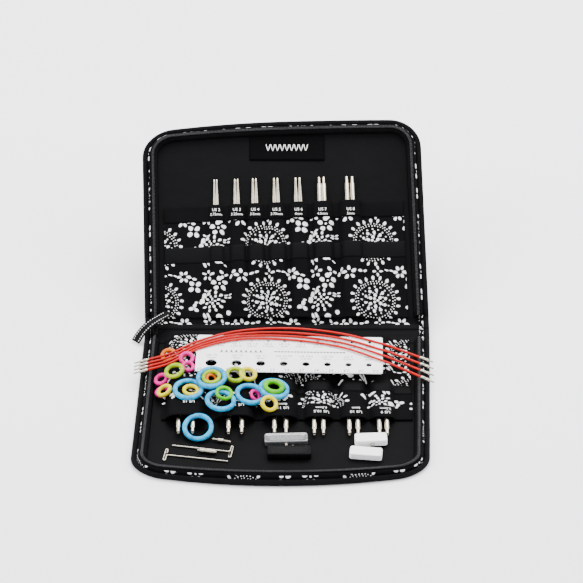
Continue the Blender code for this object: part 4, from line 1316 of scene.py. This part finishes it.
SLIDER_AT = -0.0105
SLIDER_SIZE = (0.0046, 0.0085, 0.0040)
PULLER_SIZE = (0.0110, 0.0040, 0.0008)
PULLER_TURN = math.radians(65)
RIBBON_WIDTH = 0.0085
RIBBON_THICKNESS = 0.0010
RIBBON_STEP = 0.0012
STITCH_LINE = 0.62  # where each line of stitches runs, between the ribbon's middle 0 and its edge 1
STITCH_LENGTH = 0.0011
STITCH_RADIUS = 0.00030
RIBBON_ROUTE = [(-0.1035, 0.1120, 0.0175), (-0.1110, 0.1050, 0.0178), (-0.1185, 0.0990, 0.0165),
                (-0.1240, 0.0960, 0.0125), (-0.1275, 0.0945, 0.0085), (-0.1300, 0.0932, 0.0045),
                (-0.1320, 0.0920, 0.0018)]
RIBBON_ACROSS = Vector((0.75, -0.66, 0.0)).normalized()


def build_slider():
    x, s = soft("lid", COIL_INSET - CASE_WIDTH / 2, SLIDER_AT)
    low = WALL_TOP + GAP
    lean = Matrix.Rotation(-math.atan(HALVES["lid"]["lean"]), 4, "Z")
    width, length, high = SLIDER_SIZE
    rings = []
    for t, part in ((-1, 0.62), (-0.85, 0.82), (-0.5, 0.94), (0, 0.86), (0.5, 0.98), (0.85, 1.0), (1, 0.84)):
        w = width / 2 * part
        ring = [(w, 0.0030), (w, high - 0.0006), (w - 0.0006, high), (-w + 0.0006, high), (-w, high - 0.0006),
                (-w, 0.0030)]
        rings.append([Vector((a, t * length / 2, z)) for a, z in ring])
    o = swept("zipper_slider_cast", rings, [BLACK_PLASTIC],
              place=PLACE["lid"] @ Matrix.Translation((x, s, low)) @ lean)
    bevel = o.modifiers.new("round", "BEVEL")
    bevel.width = 0.0002
    bevel.segments = 2
    settle(o, "zipper_slider", "zipper_slider")
    long, wide, thick = PULLER_SIZE
    loop = [(0, 0.0010), (0.0006, 0.0015), (long - 0.0034, 0.0016), (long - 0.0024, wide / 2),
            (long - 0.0006, wide / 2), (long, wide / 2 - 0.0006)]
    loop += [(a, -b) for a, b in reversed(loop)]
    path = [Vector((a, b * 0.78, 0)) for a, b in loop] + [Vector((*loop[0], 0)) * 0.78]
    place = (PLACE["lid"] @ Matrix.Translation((x - 0.0010, s, low + high + GAP + thick / 2))
             @ Matrix.Rotation(PULLER_TURN, 4, "Z"))
    puller = round_tube("zipper_puller_loop", path, thick / 2, [BLACK_PLASTIC], 8, place)
    settle(puller, "zipper_pull", "zipper_puller")


def build_ribbon():
    """Woven ribbon, doubled, with a line of white stitches near each edge."""
    route = smooth_route(RIBBON_ROUTE, RIBBON_STEP)
    columns = 12
    verts, cloth, stitches = [], [], []
    for j, p in enumerate(route):
        ahead = (route[min(j + 1, len(route) - 1)] - route[max(j - 1, 0)]).normalized()
        up = ahead.cross(RIBBON_ACROSS).normalized()
        up = up if up.z > 0 else -up
        for i in range(columns + 1):
            t = 2 * i / columns - 1
            curl = 0.0003 * t * t + 0.00012 * math.sin(j * 0.7 + t * 2)
            verts.append(p + RIBBON_ACROSS * RIBBON_WIDTH / 2 * t + up * curl)
            cloth.append((j * RIBBON_STEP, t * RIBBON_WIDTH / 2, 0.0))
        if j % 2 and 1 < j < len(route) - 2:
            for t in (-STITCH_LINE, STITCH_LINE):
                centre = p + RIBBON_ACROSS * RIBBON_WIDTH / 2 * t + up * 0.00062
                end = ahead * STITCH_LENGTH / 2
                stitches.append([centre - end, centre + up * 0.00012, centre + end])
    o = mesh_object("zipper_ribbon_woven", verts, grid_faces(len(route), columns + 1), [RIBBON], cloth)
    thicken(o, RIBBON_THICKNESS, 0.0)
    settle(o, "zipper_pull", "zipper_ribbon")
    threads = [round_tube("s", path, STITCH_RADIUS, [THREAD], 6) for path in stitches]
    settle(merged("zipper_ribbon_stitches", threads), "zipper_pull", finish="black_fabric")


build_slider()
build_ribbon()

# ---------------- label and the sizes on the hems

LABEL_SIZE = (0.067, 0.024, 0.0008)
LABEL_AT = (0.0045, 0.1645)
LABEL_LAYER = 0.0003
# The label's row of knit stitches: the space from one to the next, their height, spread and thread
KNIT_STEP = 0.0042
KNIT_HIGH = 0.0060
KNIT_SPREAD = 0.0017
KNIT_RADIUS = 0.00034
HEM_TOP = 0.0023  # the hem's upper side above the pocket's underside
# Where the sizes are sewn: how far from the hinge, how much further the next pair's are and at most all of
# them, how far to the side of their pair, the two lines' heights and the space from line to line
SIZE_TEXT = {
    "lid": {"along": 0.1012, "climb": 0.0, "most": 0.0, "aside": 0.0, "heights": (0.0038, 0.0033),
            "row": 0.0042},
    "lower": {"along": 0.0973, "climb": 0.0030, "most": 0.0087, "aside": -0.0022,
              "heights": (0.0042, 0.0035), "row": 0.0048},
}


def build_label():
    """Woven black label, folded under at its edges, with a generic row of knit stitches."""
    seat = PLACE["lid"] @ Matrix.Translation((*soft("lid", *LABEL_AT), BOARD + GAP))
    w, d = LABEL_SIZE[0] / 2, LABEL_SIZE[1] / 2
    verts, cloth, columns, rows = [], [], 48, 18
    for j in range(rows + 1):
        for i in range(columns + 1):
            u, v = 2 * i / columns - 1, 2 * j / rows - 1
            edge = min((1 - abs(u)) * w, (1 - abs(v)) * d)
            z = 0.0006 * min(edge / 0.0006, 1) ** 0.5 + 0.0003 * math.exp(-((edge - 0.0012) / 0.0008) ** 2)
            verts.append((u * w, v * d, 0.0001 + z + 0.00015 * noise.noise(Vector((u * 6, v * 3, 9)))))
            cloth.append((u * w, v * d, 0.0))
    o = mesh_object("woven_label_cloth", verts, grid_faces(rows + 1, columns + 1), [LABEL_CLOTH], cloth, seat)
    thicken(o, LABEL_LAYER, -1.0)
    settle(o, "lid", "lid_label", finish="black_fabric")
    strokes = []
    for k in range(-4, 5):
        for way in (-1, 1):
            a = Vector((KNIT_STEP * k, -KNIT_HIGH / 2, LABEL_SIZE[2] + 0.00005))
            b = a + Vector((way * KNIT_SPREAD, KNIT_HIGH, 0.0))
            bend = a.lerp(b, 0.5) + Vector((way * 0.0002, 0, 0))
            strokes.append(round_tube("s", [a, bend, b], KNIT_RADIUS, [THREAD], 6, seat))
    settle(merged("woven_label_motif", strokes), "lid", finish="black_fabric")


def hem_text(half, words, x, s, height):
    """A size sewn on a hem: flat lettering bent to the cloth below it."""
    o = printed("n", words, height, (0, 0, 0), THREAD, Matrix.Identity(4), thick=0.00006)
    for v in o.data.vertices:
        px, ps = x + v.co.x, s + v.co.y
        v.co = (px, ps, pocket_height(half, px, ps) + HEM_TOP + v.co.z)
    o.matrix_world = PLACE[half]
    return o


def build_sizes():
    for half, text in SIZE_TEXT.items():
        words = []
        for k, (_, centre, _, name, _) in enumerate(reversed(TIPS[half])):
            size = tip_size(name)
            at = text["along"] + min(text["climb"] * k, text["most"])
            x = centre + TIP_LEAN[half] * (at - TIP_LEAN_AT) + text["aside"]
            lines = ("US " + US_SIZES[size], size.replace("_", ".") + "mm")
            for row, (line, height) in enumerate(zip(lines, text["heights"])):
                words.append(hem_text(half, line, x, at + (0.5 - row) * text["row"], height))
        settle(merged(half + "_hem_sizes", words), BODY[half], finish="black_fabric")


build_label()
build_sizes()

# ---------------- floor and light

def build_floor():
    m, t, shader = material("studio_floor", Base_Color=(0.93, 0.93, 0.93), Roughness=0.75)
    t.put(shader.inputs["Normal"], t.bump(t.noise(local(t), 40.0, 3.0), 0.03, 0.0005))
    corners = [(-4, -4, 0), (4, -4, 0), (4, 4, 0), (-4, 4, 0)]
    mesh_object("floor", corners, [(0, 1, 2, 3)], [m])


def area_light(name, at, target, size, power):
    light = bpy.data.lights.new(name, "AREA")
    light.shape = "RECTANGLE"
    light.size, light.size_y = size
    light.energy = power
    o = linked(name, light)
    o.location = at
    o.rotation_euler = (Vector(target) - Vector(at)).to_track_quat("-Z", "Y").to_euler()


def build_light():
    """A pale sky, a large light above and a smaller one at each side."""
    world = bpy.data.worlds.new("studio")
    world.use_nodes = True
    sky = world.node_tree.nodes["Background"].inputs
    sky["Color"].default_value = (0.95, 0.97, 1.0, 1)
    sky["Strength"].default_value = 1.9
    bpy.context.scene.world = world
    area_light("overhead_softbox", (0.2, 0.9, 1.6), (0, 0.1, 0), (1.6, 0.9), 62)
    area_light("left_softbox", (-1.5, -0.2, 1.2), (0, 0.05, 0), (0.9, 1.2), 30)
    area_light("right_softbox", (1.5, 0.1, 1.1), (0, 0.05, 0), (0.9, 1.2), 18)


build_floor()
build_light()
